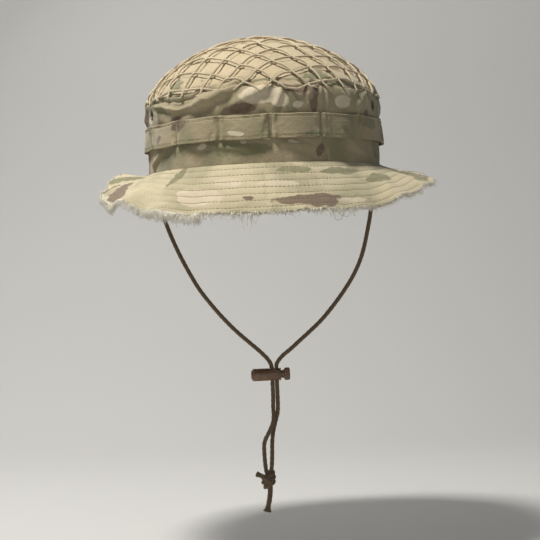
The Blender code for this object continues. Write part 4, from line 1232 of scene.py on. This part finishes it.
def turned(name, profile, fluting):
    """Turns a profile of x and radius about the lock's axis, with flutes taken off its radius."""
    x, radius = (np.broadcast_to(column[:, None], (len(profile), SIDES)) for column in np.array(profile).T)
    turn = 2 * np.pi * np.arange(SIDES) / SIDES
    radius = radius - fluting(x, radius, turn)
    points = np.stack([x, radius * np.cos(turn), LOCK_Z + radius * np.sin(turn)], -1)
    faces = [f[::-1] for f in woven_faces(len(profile), SIDES, False, True)]
    faces.append(tuple(range(SIDES)))
    faces.append(tuple((len(profile) - 1) * SIDES + j for j in range(SIDES))[::-1])
    return piece_from(name, points, faces, nylon)


def slotted(piece, low, high):
    """Cuts the cord's slot through a turned piece from top to bottom, and leaves the result as plain mesh."""
    shape = bmesh.new()
    bmesh.ops.create_cube(shape, size=1.0)
    bmesh.ops.scale(shape, verts=shape.verts, vec=(high - low, 2 * SLOT_HALF, 0.03))
    bmesh.ops.translate(shape, verts=shape.verts, vec=((low + high) / 2, 0, LOCK_Z))
    mesh = bpy.data.meshes.new("slot")
    shape.to_mesh(mesh)
    shape.free()
    cutter = into_scene("slot", mesh)
    cut = piece.modifiers.new("slot", "BOOLEAN")
    cut.object = cutter
    cut.solver = "EXACT"
    bpy.context.view_layer.update()
    made = bpy.data.meshes.new_from_object(piece.evaluated_get(bpy.context.evaluated_depsgraph_get()))
    piece.modifiers.clear()
    piece.data = made
    bpy.data.objects.remove(cutter)
    made.set_sharp_from_angle(angle=math.radians(32))


def arc(x, r, radius, start, end, steps=7):
    """Points of a rounded corner in the profile."""
    return [(x + radius * math.cos(a), r + radius * math.sin(a))
            for a in np.radians(np.linspace(start, end, steps))]


def barrel_flutes(x, r, turn):
    """Grip of the barrel's open end, cut to a wavy edge, on its outside only."""
    grip = eased((x - 0.0006 - 0.0018 * np.cos(turn / 2 + 0.8) ** 2) / 0.0006) * eased((0.0053 - x) / 0.0005)
    return 0.00042 * grip * (0.5 + 0.5 * np.cos(FLUTES * turn)) ** 2 * (r > 0.0045)


def knob_flutes(x, r, turn):
    """Grip of the plunger's cap, on its outside only."""
    return 0.00055 * eased((x - 0.0082) / 0.0004) * (0.5 + 0.5 * np.cos(FLUTES * turn)) ** 2 * (r > 0.0040)


barrel_profile = [(BARREL_FROM, NEAR_AXIS)]
barrel_profile += arc(BARREL_FROM + BARREL_ROUND, BARREL_RADIUS - BARREL_ROUND, BARREL_ROUND, 180, 90, 12)
barrel_profile += [(x, BARREL_RADIUS) for x in np.linspace(BARREL_FROM + 0.004, 0.0, 6)]
barrel_profile += [(x, BARREL_RADIUS) for x in np.linspace(0.0004, BARREL_TO - 0.0005, 22)]
barrel_profile += arc(BARREL_TO - RIM_ROUND, BARREL_RADIUS - RIM_ROUND, RIM_ROUND, 80, 0, 4)
barrel_profile += [(BARREL_TO, BORE), (BORE_END, BORE), (BORE_END, NEAR_AXIS)]
barrel = turned("cord_lock_barrel_nylon", barrel_profile, barrel_flutes)
slotted(barrel, *BARREL_SLOT)
plunger_profile = [(STEM_FROM, NEAR_AXIS), (STEM_FROM, STEM - 0.0003), (STEM_FROM + 0.0003, STEM),
                   (KNOB_FROM - RIM_ROUND, STEM)]
plunger_profile += arc(KNOB_FROM + RIM_ROUND, BARREL_RADIUS - RIM_ROUND, RIM_ROUND, 180, 90, 4)
plunger_profile += [(x, BARREL_RADIUS) for x in np.linspace(0.0091, 0.0112, 9)]
plunger_profile += arc(KNOB_TO - KNOB_ROUND, BARREL_RADIUS - KNOB_ROUND, KNOB_ROUND, 90, 0, 8)
plunger_profile += [(KNOB_TO, NEAR_AXIS)]
plunger = turned("cord_lock_plunger_nylon", plunger_profile, knob_flutes)
slotted(plunger, *PLUNGER_SLOT)
COILS, COIL_RADIUS, WIRE = 5, 0.0023, 0.0003
low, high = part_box("cord_lock_spring")
coil = np.linspace(0, 1, 130)
wound = 2 * np.pi * COILS * coil
spring_path = np.stack([low.x + WIRE + (high.x - low.x - 2 * WIRE) * coil, COIL_RADIUS * np.cos(wound),
                        LOCK_Z + COIL_RADIUS * np.sin(wound)], -1)
steel, tree, shader = new_finish("spring_steel")
drawn = grain(tree, place(tree, "TexCoord").outputs["Object"], 1200.0)
tree.links.new(mixed(tree, drawn, (0.42, 0.42, 0.43, 1), (0.68, 0.68, 0.68, 1)), shader.inputs["Base Color"])
shader.inputs["Metallic"].default_value = 1.0
shader.inputs["Roughness"].default_value = 0.3
spring = tubes("cord_lock_spring_coil", spring_path[None], WIRE, (1, 0, 0), steel, sides=8)
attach(barrel, "cord_lock")
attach(plunger, "lock_plunger")
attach(spring, "cord_lock")
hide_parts("cord_lock_barrel")
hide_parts("cord_lock_plunger")
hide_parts("cord_lock_spring")
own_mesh(spring)

for side, (strand, path) in strands.items():
    length = float(run_along(path)[-1])
